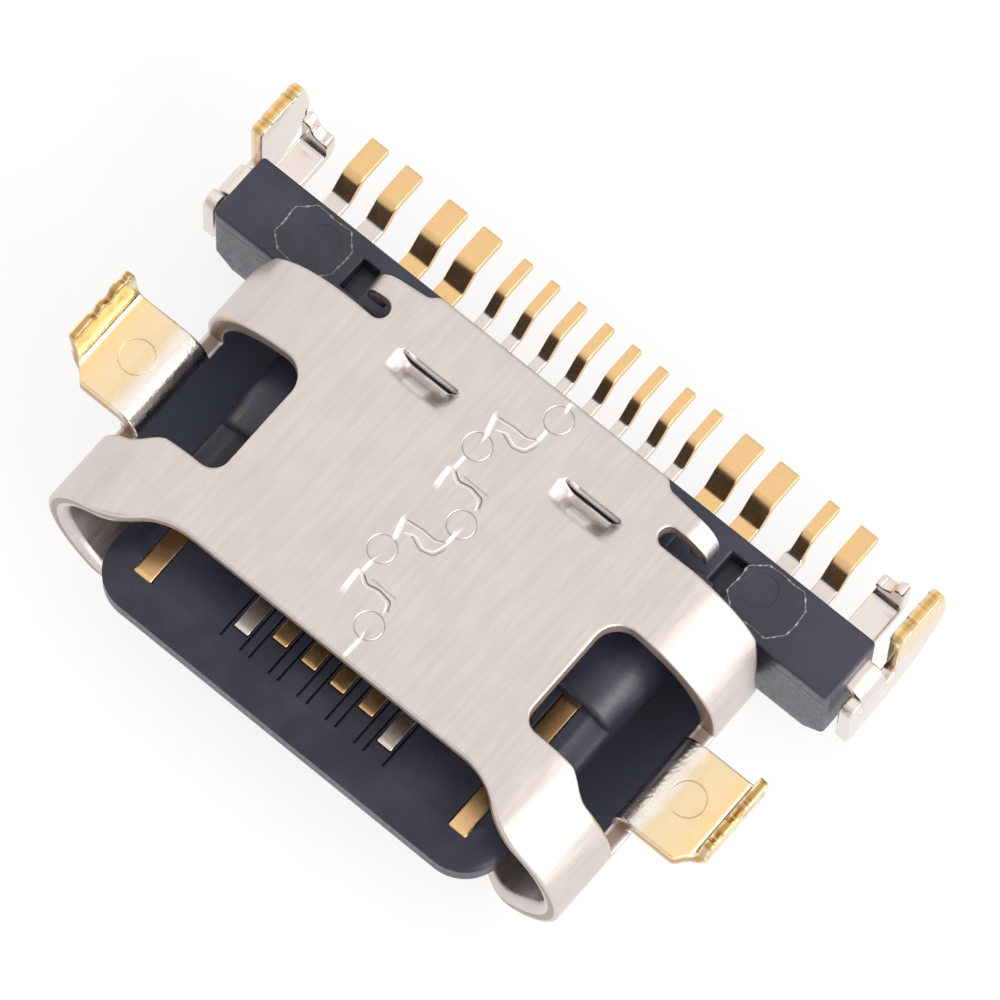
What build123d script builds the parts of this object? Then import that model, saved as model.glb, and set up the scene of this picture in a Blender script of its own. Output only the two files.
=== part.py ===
from build123d import *
import os

os.makedirs("parts", exist_ok=True)

# Millimetres. While a piece is shaped, z = 0 is the tongue's middle plane and y = 0 the
# front end of the inner contacts, y growing to the rear. What lies behind the shell is
# placed from the shell's rear edge: a SETBACK is a distance behind it, a LEAD one before
# it. save() moves each piece to the frame of the whole part: origin under the middle of
# the part, on the plane that it lies on.

# Shell: one sheet, rolled round the mouth
SHELL_WIDTH = 8.94
SHELL_HEIGHT = 3.16
SHEET = 0.30
RIM_MIDDLE_Y = 0.08
RIM_SIDE_Y = -0.435
RIM_STEP_START_X = 2.35
RIM_STEP_END_X = 3.80
RIM_LEAD_IN = 0.14
SHELL_REAR_Y = 4.02
SIDE_NOTCH_LEAD = 0.27
SIDE_NOTCH_Y = SHELL_REAR_Y - SIDE_NOTCH_LEAD
SIDE_NOTCH_FLOOR = 0.70
SIDE_NOTCH_MOUTH = 1.80

# Rear flap of the shell and its two ears, bent down
FLAP_WIDTH = 4.20
FLAP_REAR_SETBACK = 0.79
FLAP_REAR_Y = SHELL_REAR_Y + FLAP_REAR_SETBACK
EAR_FRONT_SETBACK = 0.30
EAR_FRONT_Y = SHELL_REAR_Y + EAR_FRONT_SETBACK
EAR_REAR_SETBACK = 0.70
EAR_REAR_Y = SHELL_REAR_Y + EAR_REAR_SETBACK
EAR_TIP_REAR_SETBACK = 0.56
EAR_TIP_REAR_Y = SHELL_REAR_Y + EAR_TIP_REAR_SETBACK
RIGHT_EAR_X = 3.05
LEFT_EAR_X = -2.88
EAR_TIP_Z = 1.02
EAR_BEND = 0.25
SLOT_END_X = 2.37

# Windows that the board tabs are cut from
WINDOW_INNER_X = 2.65
WINDOW_FRONT_Y = 0.95
WINDOW_STEP_START_X = 3.50
WINDOW_STEP_END_X = 4.00
WINDOW_SIDE_FRONT_Y = 0.70
WINDOW_REAR_Y = 2.87
WINDOW_FRONT_CORNER = 0.25
WINDOW_REAR_CORNER = 0.38
RELIEF_DEPTH = 0.12

# Board tabs: out of the shell's side, flat on the board plane, then up
BOARD_Z = 0.38
TAB_FRONT_Y = 1.07
TAB_REAR_Y = 2.56
TAB_BEND = 0.08
FLANGE_OUTER_X = 5.62
FLANGE_THICKNESS = 0.22
FLANGE_TOP_Z = 1.00
FLANGE_FRONT_Y = 1.33
FLANGE_BEND = 0.33
FLANGE_INNER_BEND = 0.06
TAB_CORNER_X = 5.20
NOTCH_WIDTH = 0.09
NOTCH_DEPTH = 0.07
RIGHT_NOTCHES = (1.94, 1.55)
LEFT_NOTCHES = (2.07, 1.81)

# Lances: pressed down into the housing, above and below
LANCE_INNER_X = 0.90
LANCE_WIDTH = 1.03
LANCE_FRONT_LEAD = 0.50
LANCE_FRONT_Y = SHELL_REAR_Y - LANCE_FRONT_LEAD
LANCE_LENGTH = 0.38
LANCE_GAP = 0.035
LANCE_DROP = 0.22

# Closing seam along the middle of the top, and the punch marks on it
SEAM_GAP = 0.025
SEAM_X = 0.30
SEAM_HOOK = 0.08
SEAM_BEND = 0.12
SEAM_TURN_YS = (1.03, 2.92)
SEAM_HOOK_YS = (2.06, 4.08)
SEAM_HOOK_LENGTH = 0.33
SEAM_SLANT = 0.08
MARK_YS = (0.65, 1.58, 2.51, 3.49, 4.48)
MARK_RADIUS = 0.21
MARK_DEPTH = 0.012

# Contacts: strip metal, flush with the tongue's faces
STRIP = 0.15
TONGUE_HEIGHT = 0.70
BLADE_WIDTH = 0.25
OUTER_BLADE_WIDTH = 0.30
POWER_FRONT_Y = -0.206
OUTER_FRONT_Y = -0.479
INNER_FRONT_Y = 0.0
POWER_FROM_X = 1.0
OUTER_FROM_X = 2.0
JOG_START_Y = 3.00
JOG_END_SETBACK = 0.43
JOG_END_Y = SHELL_REAR_Y + JOG_END_SETBACK
STEP_END_SETBACK = 0.78
STEP_END_Y = SHELL_REAR_Y + STEP_END_SETBACK
TAIL_TOP_Z = 0.04
RISE_START_SETBACK = 1.48
RISE_START_Y = SHELL_REAR_Y + RISE_START_SETBACK
RISE_END_SETBACK = 1.74
RISE_END_Y = SHELL_REAR_Y + RISE_END_SETBACK
TAIL_END_SETBACK = 2.30
TAIL_END_Y = SHELL_REAR_Y + TAIL_END_SETBACK
TAIL_BEND = 0.10
FINE_TAIL = 0.17
WIDE_TAIL = 0.35
OUTER_TAIL = 0.31
STEPPED_TAIL = 0.28
SLIM_FOOT = 0.20

# Per contact: its place on the tongue, its tail's place, the tail's and the foot's width
UPPER_ROW = (
    (-2.75, -3.69, OUTER_TAIL, OUTER_TAIL),
    (-1.25, -2.30, WIDE_TAIL, WIDE_TAIL),
    (-0.75, -1.67, FINE_TAIL, FINE_TAIL),
    (-0.25, -0.714, FINE_TAIL, FINE_TAIL),
    (0.25, 0.238, FINE_TAIL, FINE_TAIL),
    (0.75, 1.19, FINE_TAIL, FINE_TAIL),
    (1.25, 2.30, WIDE_TAIL, WIDE_TAIL),
    (2.75, 3.69, STEPPED_TAIL, SLIM_FOOT),
)
LOWER_ROW = (
    (-2.75, -4.30, OUTER_TAIL, OUTER_TAIL),
    (-1.25, -2.91, WIDE_TAIL, WIDE_TAIL),
    (-0.75, -1.19, FINE_TAIL, FINE_TAIL),
    (-0.25, -0.238, FINE_TAIL, FINE_TAIL),
    (0.25, 0.714, FINE_TAIL, FINE_TAIL),
    (0.75, 1.67, FINE_TAIL, FINE_TAIL),
    (1.25, 2.91, WIDE_TAIL, WIDE_TAIL),
    (2.75, 4.30, OUTER_TAIL, OUTER_TAIL),
)

# Mid plate: one sheet in the tongue's middle plane, with a folded flap and pin at each end
PLATE = 0.20
PLATE_FRONT_Y = -0.40
PLATE_HALF_WIDTH = 3.00
PLATE_WAIST_LEAD = 0.47
PLATE_WAIST_Y = SHELL_REAR_Y - PLATE_WAIST_LEAD
PLATE_SHOULDER_X = 3.85
PLATE_REAR_SETBACK = 0.28
PLATE_REAR_Y = SHELL_REAR_Y + PLATE_REAR_SETBACK
PLATE_ARM_FRONT_SETBACK = 0.20
PLATE_ARM_FRONT_Y = SHELL_REAR_Y + PLATE_ARM_FRONT_SETBACK
PLATE_ARM_X = 4.66
PLATE_ARM_REAR_SETBACK = 0.98
PLATE_ARM_REAR_Y = SHELL_REAR_Y + PLATE_ARM_REAR_SETBACK
FOLD_FRONT_SETBACK = 0.46
FOLD_FRONT_Y = SHELL_REAR_Y + FOLD_FRONT_SETBACK
FLAP_OUTER_X = 5.70
FLAP_BEND = 0.10
FLAP_LOW_Z = -1.12
FLAP_FRONT_SETBACK = 0.18
FLAP_FRONT_Y = SHELL_REAR_Y + FLAP_FRONT_SETBACK
FLAP_FRONT_CUT = 0.12
FLAP_EDGE_Z = 0.06
FLAP_WING_SETBACK = 1.20
FLAP_WING_Y = SHELL_REAR_Y + FLAP_WING_SETBACK
FLAP_TOP_Z = 0.80
FLAP_REAR_EDGE = ((2.11, FLAP_TOP_Z), (2.24, 0.11), (2.16, -0.34), (1.61, -0.94), (0.91, FLAP_LOW_Z))
PIN_OUTER_X = 5.27
PIN_LUG_WIDTH = 0.46
PIN_WIDTH = 0.20
PIN_MIDDLE_SETBACK = 1.86
PIN_MIDDLE_Y = SHELL_REAR_Y + PIN_MIDDLE_SETBACK
PIN_SHOULDER_Z = 0.42
PIN_TOP_Z = 0.78
PIN_BEND = 0.18

# Housing: tongue, collar, plug and rear block in one moulding
TONGUE_HALF_WIDTH = 3.41
TONGUE_FLAT_HALF_WIDTH = 3.10
TONGUE_FRONT_Y = -0.95
TONGUE_FLAT_FRONT_Y = -0.50
TONGUE_NOSE_HEIGHT = 0.38
TONGUE_CORNER = 0.65
TONGUE_FLAT_CORNER = 0.35
COLLAR_FRONT_Y = 1.90
COLLAR_WIDTH = 6.90
COLLAR_HEIGHT = 1.24
COLLAR_BEND = 0.28
PLUG_FRONT_LEAD = 0.57
PLUG_FRONT_Y = SHELL_REAR_Y - PLUG_FRONT_LEAD
PLUG_CLEARANCE = 0.02
BLOCK_FRONT_SETBACK = 0.05
BLOCK_FRONT_Y = SHELL_REAR_Y + BLOCK_FRONT_SETBACK
BLOCK_REAR_SETBACK = 1.11
BLOCK_REAR_Y = SHELL_REAR_Y + BLOCK_REAR_SETBACK
BLOCK_WIDTH = 10.76
BLOCK_TOP_Z = 0.48
BLOCK_LOW_Z = -1.30
BLOCK_TOP_BEVEL = 0.04
BLOCK_LOW_BEVEL = 0.30
SADDLE_WIDTH = 4.70
SADDLE_REAR_SETBACK = 0.70
SADDLE_REAR_Y = SHELL_REAR_Y + SADDLE_REAR_SETBACK
SADDLE_CLEARANCE = 0.01
LEDGE_HALF_WIDTH = 3.30
LEDGE_REAR_SETBACK = 0.16
LEDGE_REAR_Y = SHELL_REAR_Y + LEDGE_REAR_SETBACK
LEDGE_TOP_Z = 1.12
POCKET_START_X = 3.08
POCKET_END_X = 3.38
POCKET_FRONT_SETBACK = 0.18
POCKET_FRONT_Y = SHELL_REAR_Y + POCKET_FRONT_SETBACK
POCKET_REAR_SETBACK = 0.85
POCKET_REAR_Y = SHELL_REAR_Y + POCKET_REAR_SETBACK
POCKET_DEPTH = 0.30
GROOVE_OFFSET = 0.17
GROOVE_WIDTH = 0.04
GROOVE_LENGTH = 0.27
GROOVE_LEAD = 0.27
GROOVE_DEPTH = 0.05

# Inner carriers that hold a row of contacts each
CARRIER_FRONT_Y = 2.60
CARRIER_WAIST_LEAD = 0.42
CARRIER_WAIST_Y = SHELL_REAR_Y - CARRIER_WAIST_LEAD
CARRIER_REAR_SETBACK = 0.28
CARRIER_REAR_Y = SHELL_REAR_Y + CARRIER_REAR_SETBACK
CARRIER_FRONT_WIDTH = 6.40
CARRIER_REAR_WIDTH = 7.80
CARRIER_TOP_Z = 0.42
PAD_LENGTH = 0.84
PAD_WIDTH = 1.00
PAD_BEVEL = 0.20
PAD_SETBACK = 0.61
PAD_Y = SHELL_REAR_Y + PAD_SETBACK
LEFT_PAD_X = -4.06
RIGHT_PAD_X = 3.88
EJECTOR_RADIUS = 0.25
EJECTOR_DEPTH = 0.02
LEFT_EJECTOR_X = -3.96
RIGHT_EJECTOR_X = 3.71
EJECTOR_SETBACK = 0.67
EJECTOR_Y = SHELL_REAR_Y + EJECTOR_SETBACK

# How far cutting blocks reach past what they cut
OVERCUT = 0.5


def save(piece, label):
    """Move a finished piece to the frame of the whole part and write it."""
    middle_y = (TONGUE_FRONT_Y + TAIL_END_Y) / 2
    placed = piece.moved(Location((0, -middle_y, SHELL_HEIGHT / 2)))
    placed.label = label
    export_step(placed, f"parts/{label}.step")


def bent_strip(plane, points, bend, thickness, width):
    """Return a strip whose middle line runs through the points with rounded bends."""
    with BuildPart() as strip:
        with BuildSketch(plane):
            with BuildLine():
                FilletPolyline(*points, radius=bend)
            trace(line_width=thickness)
        extrude(amount=width)
    return strip.part


def box_between(low, high):
    """Return a block between two corners."""
    size = [high[i] - low[i] for i in range(3)]
    with BuildPart() as block:
        with Locations(low):
            Box(*size, align=(Align.MIN, Align.MIN, Align.MIN))
    return block.part


def build_lances():
    """Return the four pressed lances, two above and two below."""
    top = SHELL_HEIGHT / 2
    rear = LANCE_FRONT_Y + LANCE_LENGTH
    with BuildPart() as lances:
        with BuildSketch(Plane.YZ.offset(LANCE_INNER_X)):
            with BuildLine():
                Polyline(
                    (LANCE_FRONT_Y, top),
                    (rear, top - LANCE_DROP),
                    (rear, top - LANCE_DROP - SHEET),
                    (LANCE_FRONT_Y, top - SHEET),
                    close=True,
                )
            make_face()
        extrude(amount=LANCE_WIDTH)
        mirror(about=Plane.YZ)
        mirror(about=Plane.XY)
    return lances.part


def build_tab(notches):
    """Return the right board tab: out of the wall, flat, then up, with its edge nicked."""
    wall_inner = SHELL_WIDTH / 2 - SHEET
    root_bend = BOARD_Z
    root_centre = wall_inner + root_bend
    low = BOARD_Z - SHEET
    flange_inner = FLANGE_OUTER_X - FLANGE_THICKNESS
    with BuildPart() as tab:
        with BuildSketch(Plane.XZ.offset(-TAB_REAR_Y)):
            with BuildLine():
                RadiusArc((wall_inner, 0), (root_centre, BOARD_Z), root_bend)
                Polyline((root_centre, BOARD_Z), (flange_inner - FLANGE_INNER_BEND, BOARD_Z))
                RadiusArc(
                    (flange_inner - FLANGE_INNER_BEND, BOARD_Z),
                    (flange_inner, BOARD_Z + FLANGE_INNER_BEND),
                    -FLANGE_INNER_BEND,
                )
                Polyline(
                    (flange_inner, BOARD_Z + FLANGE_INNER_BEND),
                    (flange_inner, FLANGE_TOP_Z),
                    (FLANGE_OUTER_X, FLANGE_TOP_Z),
                    (FLANGE_OUTER_X, low + FLANGE_BEND),
                )
                RadiusArc(
                    (FLANGE_OUTER_X, low + FLANGE_BEND),
                    (FLANGE_OUTER_X - FLANGE_BEND, low),
                    FLANGE_BEND,
                )
                Polyline((FLANGE_OUTER_X - FLANGE_BEND, low), (root_centre, low))
                RadiusArc((root_centre, low), (wall_inner + SHEET, 0), -TAB_BEND)
                Polyline((wall_inner + SHEET, 0), (wall_inner, 0))
            make_face()
        extrude(amount=TAB_REAR_Y - TAB_FRONT_Y)
        with BuildSketch():
            with BuildLine():
                Polyline(
                    (TAB_CORNER_X, TAB_FRONT_Y - OVERCUT),
                    (TAB_CORNER_X, TAB_FRONT_Y),
                    (flange_inner, FLANGE_FRONT_Y),
                    (FLANGE_OUTER_X + OVERCUT, FLANGE_FRONT_Y),
                    (FLANGE_OUTER_X + OVERCUT, TAB_FRONT_Y - OVERCUT),
                    close=True,
                )
            make_face()
        extrude(amount=FLANGE_TOP_Z + OVERCUT, both=True, mode=Mode.SUBTRACT)
        for notch_y in notches:
            with BuildSketch(Plane.YZ.offset(flange_inner - OVERCUT)):
                with BuildLine():
                    Polyline(
                        (notch_y - NOTCH_WIDTH / 2, FLANGE_TOP_Z),
                        (notch_y, FLANGE_TOP_Z - NOTCH_DEPTH),
                        (notch_y + NOTCH_WIDTH / 2, FLANGE_TOP_Z),
                        close=True,
                    )
                make_face()
            extrude(amount=FLANGE_THICKNESS + 2 * OVERCUT, mode=Mode.SUBTRACT)
    return tab.part


def build_left_tab():
    """Return the left board tab, the mirror image of the right but for its nicks."""
    with BuildPart() as tab:
        add(build_tab(LEFT_NOTCHES))
        mirror(about=Plane.YZ, mode=Mode.REPLACE)
    return tab.part


def build_flap_and_ears():
    """Return the shell's rear flap with an ear bent down at each side."""
    low = SHELL_HEIGHT / 2 - SHEET
    middle_z = SHELL_HEIGHT / 2 - SHEET / 2
    right_x = RIGHT_EAR_X - SHEET / 2
    left_x = LEFT_EAR_X + SHEET / 2
    slot_width = EAR_FRONT_Y - SHELL_REAR_Y
    ears_path = ((left_x, EAR_TIP_Z), (left_x, middle_z), (right_x, middle_z), (right_x, EAR_TIP_Z))
    ear_width = EAR_REAR_Y - EAR_FRONT_Y
    neck_x = SLOT_END_X + slot_width / 2
    with BuildPart() as flap:
        add(bent_strip(Plane.XZ.offset(-EAR_REAR_Y), ears_path, EAR_BEND, SHEET, ear_width))
        with BuildSketch():
            with BuildLine():
                Polyline(
                    (FLAP_WIDTH / 2, EAR_REAR_Y),
                    (RIGHT_EAR_X, EAR_TIP_REAR_Y),
                    (RIGHT_EAR_X + OVERCUT, EAR_TIP_REAR_Y),
                    (RIGHT_EAR_X + OVERCUT, EAR_REAR_Y + OVERCUT),
                    (FLAP_WIDTH / 2, EAR_REAR_Y + OVERCUT),
                    close=True,
                )
            make_face()
            mirror(about=Plane.YZ)
        extrude(amount=SHELL_HEIGHT, mode=Mode.SUBTRACT)
        add(box_between((-FLAP_WIDTH / 2, SHELL_REAR_Y, low), (FLAP_WIDTH / 2, FLAP_REAR_Y, low + SHEET)))
        add(box_between((-neck_x, SHELL_REAR_Y, low), (neck_x, EAR_FRONT_Y, low + SHEET)))
        with BuildSketch(Plane.XY.offset(low)):
            with Locations((neck_x, SHELL_REAR_Y + slot_width / 2), (-neck_x, SHELL_REAR_Y + slot_width / 2)):
                Circle(slot_width / 2)
        extrude(amount=SHEET, mode=Mode.SUBTRACT)
    return flap.part


def cut_rim():
    """Return the block that trims the mouth to its curved front edge."""
    reach = SHELL_WIDTH / 2 + OVERCUT
    front = RIM_SIDE_Y - OVERCUT
    half_step = (RIM_STEP_END_X - RIM_STEP_START_X) / 2
    half_drop = (RIM_MIDDLE_Y - RIM_SIDE_Y) / 2
    radius = (half_step**2 + half_drop**2) / (2 * half_drop)
    middle = (RIM_STEP_START_X + half_step, RIM_MIDDLE_Y - half_drop)
    with BuildPart() as trim:
        with BuildSketch():
            with BuildLine():
                Polyline((0, front), (0, RIM_MIDDLE_Y), (RIM_STEP_START_X, RIM_MIDDLE_Y))
                RadiusArc((RIM_STEP_START_X, RIM_MIDDLE_Y), middle, radius)
                RadiusArc(middle, (RIM_STEP_END_X, RIM_SIDE_Y), -radius)
                Polyline((RIM_STEP_END_X, RIM_SIDE_Y), (reach, RIM_SIDE_Y), (reach, front), (0, front))
            make_face()
            mirror(about=Plane.YZ)
        extrude(amount=SHELL_HEIGHT, both=True)
    return trim.part


def cut_windows():
    """Return the blocks that open the two windows, with reliefs beside the tab roots."""
    reach = SHELL_WIDTH / 2 + OVERCUT
    relief_x = SHELL_WIDTH / 2 - 2 * SHEET
    half_step = (WINDOW_STEP_END_X - WINDOW_STEP_START_X) / 2
    half_drop = (WINDOW_FRONT_Y - WINDOW_SIDE_FRONT_Y) / 2
    radius = (half_step**2 + half_drop**2) / (2 * half_drop)
    middle = (WINDOW_STEP_START_X + half_step, WINDOW_FRONT_Y - half_drop)
    with BuildPart() as window:
        with BuildSketch():
            with BuildLine():
                RadiusArc((WINDOW_STEP_START_X, WINDOW_FRONT_Y), middle, radius)
                RadiusArc(middle, (WINDOW_STEP_END_X, WINDOW_SIDE_FRONT_Y), -radius)
                Polyline(
                    (WINDOW_STEP_END_X, WINDOW_SIDE_FRONT_Y),
                    (reach, WINDOW_SIDE_FRONT_Y),
                    (reach, WINDOW_REAR_Y),
                    (WINDOW_INNER_X, WINDOW_REAR_Y),
                    (WINDOW_INNER_X, WINDOW_FRONT_Y),
                    (WINDOW_STEP_START_X, WINDOW_FRONT_Y),
                )
            inner_corners = make_face().vertices().group_by(Axis.X)[0].sort_by(Axis.Y)
            fillet(inner_corners[0], WINDOW_FRONT_CORNER)
            fillet(inner_corners[1], WINDOW_REAR_CORNER)
        extrude(amount=SHELL_HEIGHT)
        for low_y, high_y in ((WINDOW_SIDE_FRONT_Y, TAB_FRONT_Y), (TAB_REAR_Y, WINDOW_REAR_Y)):
            add(box_between((relief_x, low_y, -RELIEF_DEPTH), (reach, high_y, 0)))
        mirror(about=Plane.YZ)
    return window.part


def cut_seam():
    """Return the thin slit of the dovetailed seam."""
    first_turn, second_turn = SEAM_TURN_YS
    first_hook, second_hook = SEAM_HOOK_YS
    with BuildPart() as slit:
        with BuildSketch(Plane.XY.offset(SHELL_HEIGHT / 2 + OVERCUT)):
            with BuildLine():
                FilletPolyline(
                    (SEAM_X, RIM_MIDDLE_Y - OVERCUT),
                    (SEAM_X, first_turn),
                    (-SEAM_X, first_turn),
                    (-SEAM_X, first_hook - SEAM_HOOK_LENGTH),
                    radius=SEAM_BEND,
                )
                Polyline(
                    (-SEAM_X, first_hook - SEAM_HOOK_LENGTH),
                    (-SEAM_X - SEAM_HOOK, first_hook),
                    (SEAM_X, first_hook + SEAM_SLANT),
                )
                FilletPolyline(
                    (SEAM_X, first_hook + SEAM_SLANT),
                    (SEAM_X, second_turn),
                    (-SEAM_X, second_turn),
                    (-SEAM_X, second_hook - SEAM_HOOK_LENGTH),
                    radius=SEAM_BEND,
                )
                Polyline(
                    (-SEAM_X, second_hook - SEAM_HOOK_LENGTH),
                    (-SEAM_X - SEAM_HOOK, second_hook),
                    (SEAM_X, second_hook),
                    (SEAM_X, FLAP_REAR_Y + OVERCUT),
                )
            trace(line_width=SEAM_GAP)
        extrude(amount=-OVERCUT - 2 * SHEET)
    return slit.part


def is_inner(edge):
    """Tell whether an edge lies on the inner face of the rolled sheet."""
    radius = SHELL_HEIGHT / 2
    offset_x = max(abs(edge.center().X) - (SHELL_WIDTH / 2 - radius), 0)
    return (offset_x**2 + edge.center().Z ** 2) ** 0.5 < radius - SHEET / 2


def build_shell(lances):
    """Return the shell: rolled ring, flap, ears, tabs, windows, lances and seam."""
    top = SHELL_HEIGHT / 2
    reach = SHELL_WIDTH / 2 + OVERCUT
    with BuildPart() as shell:
        with BuildSketch(Plane.XZ.offset(-SHELL_REAR_Y)):
            SlotOverall(SHELL_WIDTH, SHELL_HEIGHT)
            SlotOverall(SHELL_WIDTH - 2 * SHEET, SHELL_HEIGHT - 2 * SHEET, mode=Mode.SUBTRACT)
        extrude(amount=SHELL_REAR_Y - RIM_SIDE_Y + OVERCUT / 2)
        add(cut_rim(), mode=Mode.SUBTRACT)
        rim_edges = shell.edges().filter_by(lambda edge: edge.center().Y < RIM_MIDDLE_Y + SHEET)
        chamfer(rim_edges.filter_by(is_inner), RIM_LEAD_IN)
        add(cut_windows(), mode=Mode.SUBTRACT)
        with BuildSketch(Plane.YZ.offset(-reach)):
            with BuildLine():
                Polyline(
                    (SIDE_NOTCH_Y, -SIDE_NOTCH_FLOOR / 2),
                    (SIDE_NOTCH_Y, SIDE_NOTCH_FLOOR / 2),
                    (SHELL_REAR_Y, SIDE_NOTCH_MOUTH / 2),
                    (SHELL_REAR_Y, -SIDE_NOTCH_MOUTH / 2),
                    close=True,
                )
            make_face()
        extrude(amount=2 * reach, mode=Mode.SUBTRACT)
        add(build_flap_and_ears())
        add(build_tab(RIGHT_NOTCHES))
        add(build_left_tab())
        with Locations((LANCE_INNER_X, LANCE_FRONT_Y, -top), (-LANCE_INNER_X - LANCE_WIDTH, LANCE_FRONT_Y, -top)):
            Box(
                LANCE_WIDTH,
                LANCE_LENGTH + LANCE_GAP,
                SHELL_HEIGHT,
                align=(Align.MIN, Align.MIN, Align.MIN),
                mode=Mode.SUBTRACT,
            )
        add(lances)
        add(cut_seam(), mode=Mode.SUBTRACT)
        with BuildSketch(Plane.XY.offset(top)):
            for count, mark_y in enumerate(MARK_YS):
                with Locations((SEAM_X if count % 2 == 0 else -SEAM_X, mark_y)):
                    Circle(MARK_RADIUS)
        extrude(amount=-MARK_DEPTH, mode=Mode.SUBTRACT)
    return shell.part


def front_of(front_x):
    """Return where a contact starts on the tongue, and how wide it is there."""
    if abs(front_x) > OUTER_FROM_X:
        return OUTER_FRONT_Y, OUTER_BLADE_WIDTH
    if abs(front_x) > POWER_FROM_X:
        return POWER_FRONT_Y, BLADE_WIDTH
    return INNER_FRONT_Y, BLADE_WIDTH


def build_contact(row_entry, side):
    """Return one contact: flat blade in the tongue, step to the tail level, foot bent up."""
    front_x, tail_x, tail_width, foot_width = row_entry
    front_y, width = front_of(front_x)
    blade_z = side * (TONGUE_HEIGHT / 2 - STRIP / 2)
    tail_z = TAIL_TOP_Z - STRIP / 2
    foot_z = BOARD_Z - STRIP / 2
    half = width / 2
    tail_half = tail_width / 2
    tail_plane = Plane.YZ.offset(tail_x - tail_half)
    tail_path = (
        (STEP_END_Y, tail_z),
        (RISE_START_Y, tail_z),
        (RISE_END_Y, foot_z),
        (TAIL_END_Y, foot_z),
    )
    with BuildPart() as contact:
        with BuildSketch(Plane.XY.offset(blade_z - STRIP / 2)):
            with BuildLine():
                Polyline(
                    (front_x - half, front_y),
                    (front_x - half, JOG_START_Y),
                    (tail_x - tail_half, JOG_END_Y),
                    (tail_x + tail_half, JOG_END_Y),
                    (front_x + half, JOG_START_Y),
                    (front_x + half, front_y),
                    close=True,
                )
            make_face()
        extrude(amount=STRIP)
        with BuildSketch(tail_plane):
            with BuildLine():
                Polyline(
                    (JOG_END_Y, blade_z - STRIP / 2),
                    (JOG_END_Y, blade_z + STRIP / 2),
                    (STEP_END_Y, tail_z + STRIP / 2),
                    (STEP_END_Y, tail_z - STRIP / 2),
                    close=True,
                )
            make_face()
        extrude(amount=tail_width)
        add(bent_strip(tail_plane, tail_path, TAIL_BEND, STRIP, tail_width))
        if foot_width < tail_width:
            trim = (tail_width - foot_width) / 2
            for trim_x in (tail_x - tail_half, tail_x + tail_half - trim):
                low = (trim_x, RISE_START_Y, tail_z - STRIP)
                high = (trim_x + trim, TAIL_END_Y, BOARD_Z)
                add(box_between(low, high), mode=Mode.SUBTRACT)
    return contact.part


def build_mid_plate():
    """Return the mid plate: blade, arms, end flaps folded down and pins folded up."""
    half = PLATE / 2
    flap_x = FLAP_OUTER_X - half
    fold_path = ((PLATE_ARM_X, 0), (flap_x, 0), (flap_x, FLAP_LOW_Z / 2))
    fold_width = PLATE_ARM_REAR_Y - FOLD_FRONT_Y
    pin_path = ((PLATE_ARM_REAR_Y - PLATE, 0), (PIN_MIDDLE_Y, 0), (PIN_MIDDLE_Y, PIN_TOP_Z))
    with BuildPart() as plate:
        with BuildSketch(Plane.XY.offset(-half)):
            with BuildLine():
                Polyline(
                    (0, PLATE_FRONT_Y),
                    (PLATE_HALF_WIDTH, PLATE_FRONT_Y),
                    (PLATE_HALF_WIDTH, PLATE_WAIST_Y),
                    (PLATE_SHOULDER_X, PLATE_WAIST_Y),
                    (PLATE_SHOULDER_X, PLATE_ARM_FRONT_Y),
                    (PLATE_ARM_X + half, PLATE_ARM_FRONT_Y),
                    (PLATE_ARM_X + half, PLATE_ARM_REAR_Y),
                    (PLATE_ARM_X, PLATE_ARM_REAR_Y),
                    (PLATE_ARM_X, PLATE_REAR_Y),
                    (0, PLATE_REAR_Y),
                    close=True,
                )
            make_face()
        extrude(amount=PLATE)
        add(bent_strip(Plane.XZ.offset(-PLATE_ARM_REAR_Y), fold_path, FLAP_BEND + half, PLATE, fold_width))
        with BuildSketch(Plane.YZ.offset(FLAP_OUTER_X - PLATE)):
            with BuildLine():
                Polyline(
                    (FLAP_FRONT_Y, FLAP_LOW_Z),
                    (FLAP_FRONT_Y, FLAP_EDGE_Z - FLAP_FRONT_CUT),
                    (FLAP_FRONT_Y + FLAP_FRONT_CUT, FLAP_EDGE_Z),
                    (FOLD_FRONT_Y, FLAP_EDGE_Z),
                    (FOLD_FRONT_Y, -2 * PLATE),
                    (FLAP_WING_Y, -2 * PLATE),
                    (FLAP_WING_Y, FLAP_TOP_Z),
                    *[(SHELL_REAR_Y + back, edge_z) for back, edge_z in FLAP_REAR_EDGE],
                    close=True,
                )
            make_face()
        extrude(amount=PLATE)
        add(bent_strip(Plane.YZ.offset(PIN_OUTER_X - PIN_LUG_WIDTH), pin_path, PIN_BEND, PLATE, PIN_LUG_WIDTH))
        low = (PIN_OUTER_X - PIN_LUG_WIDTH, PIN_MIDDLE_Y - PLATE, PIN_SHOULDER_Z)
        high = (PIN_OUTER_X - PIN_WIDTH, PIN_MIDDLE_Y + PLATE, PIN_TOP_Z)
        add(box_between(low, high), mode=Mode.SUBTRACT)
        mirror(about=Plane.YZ)
    return plate.part


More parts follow.
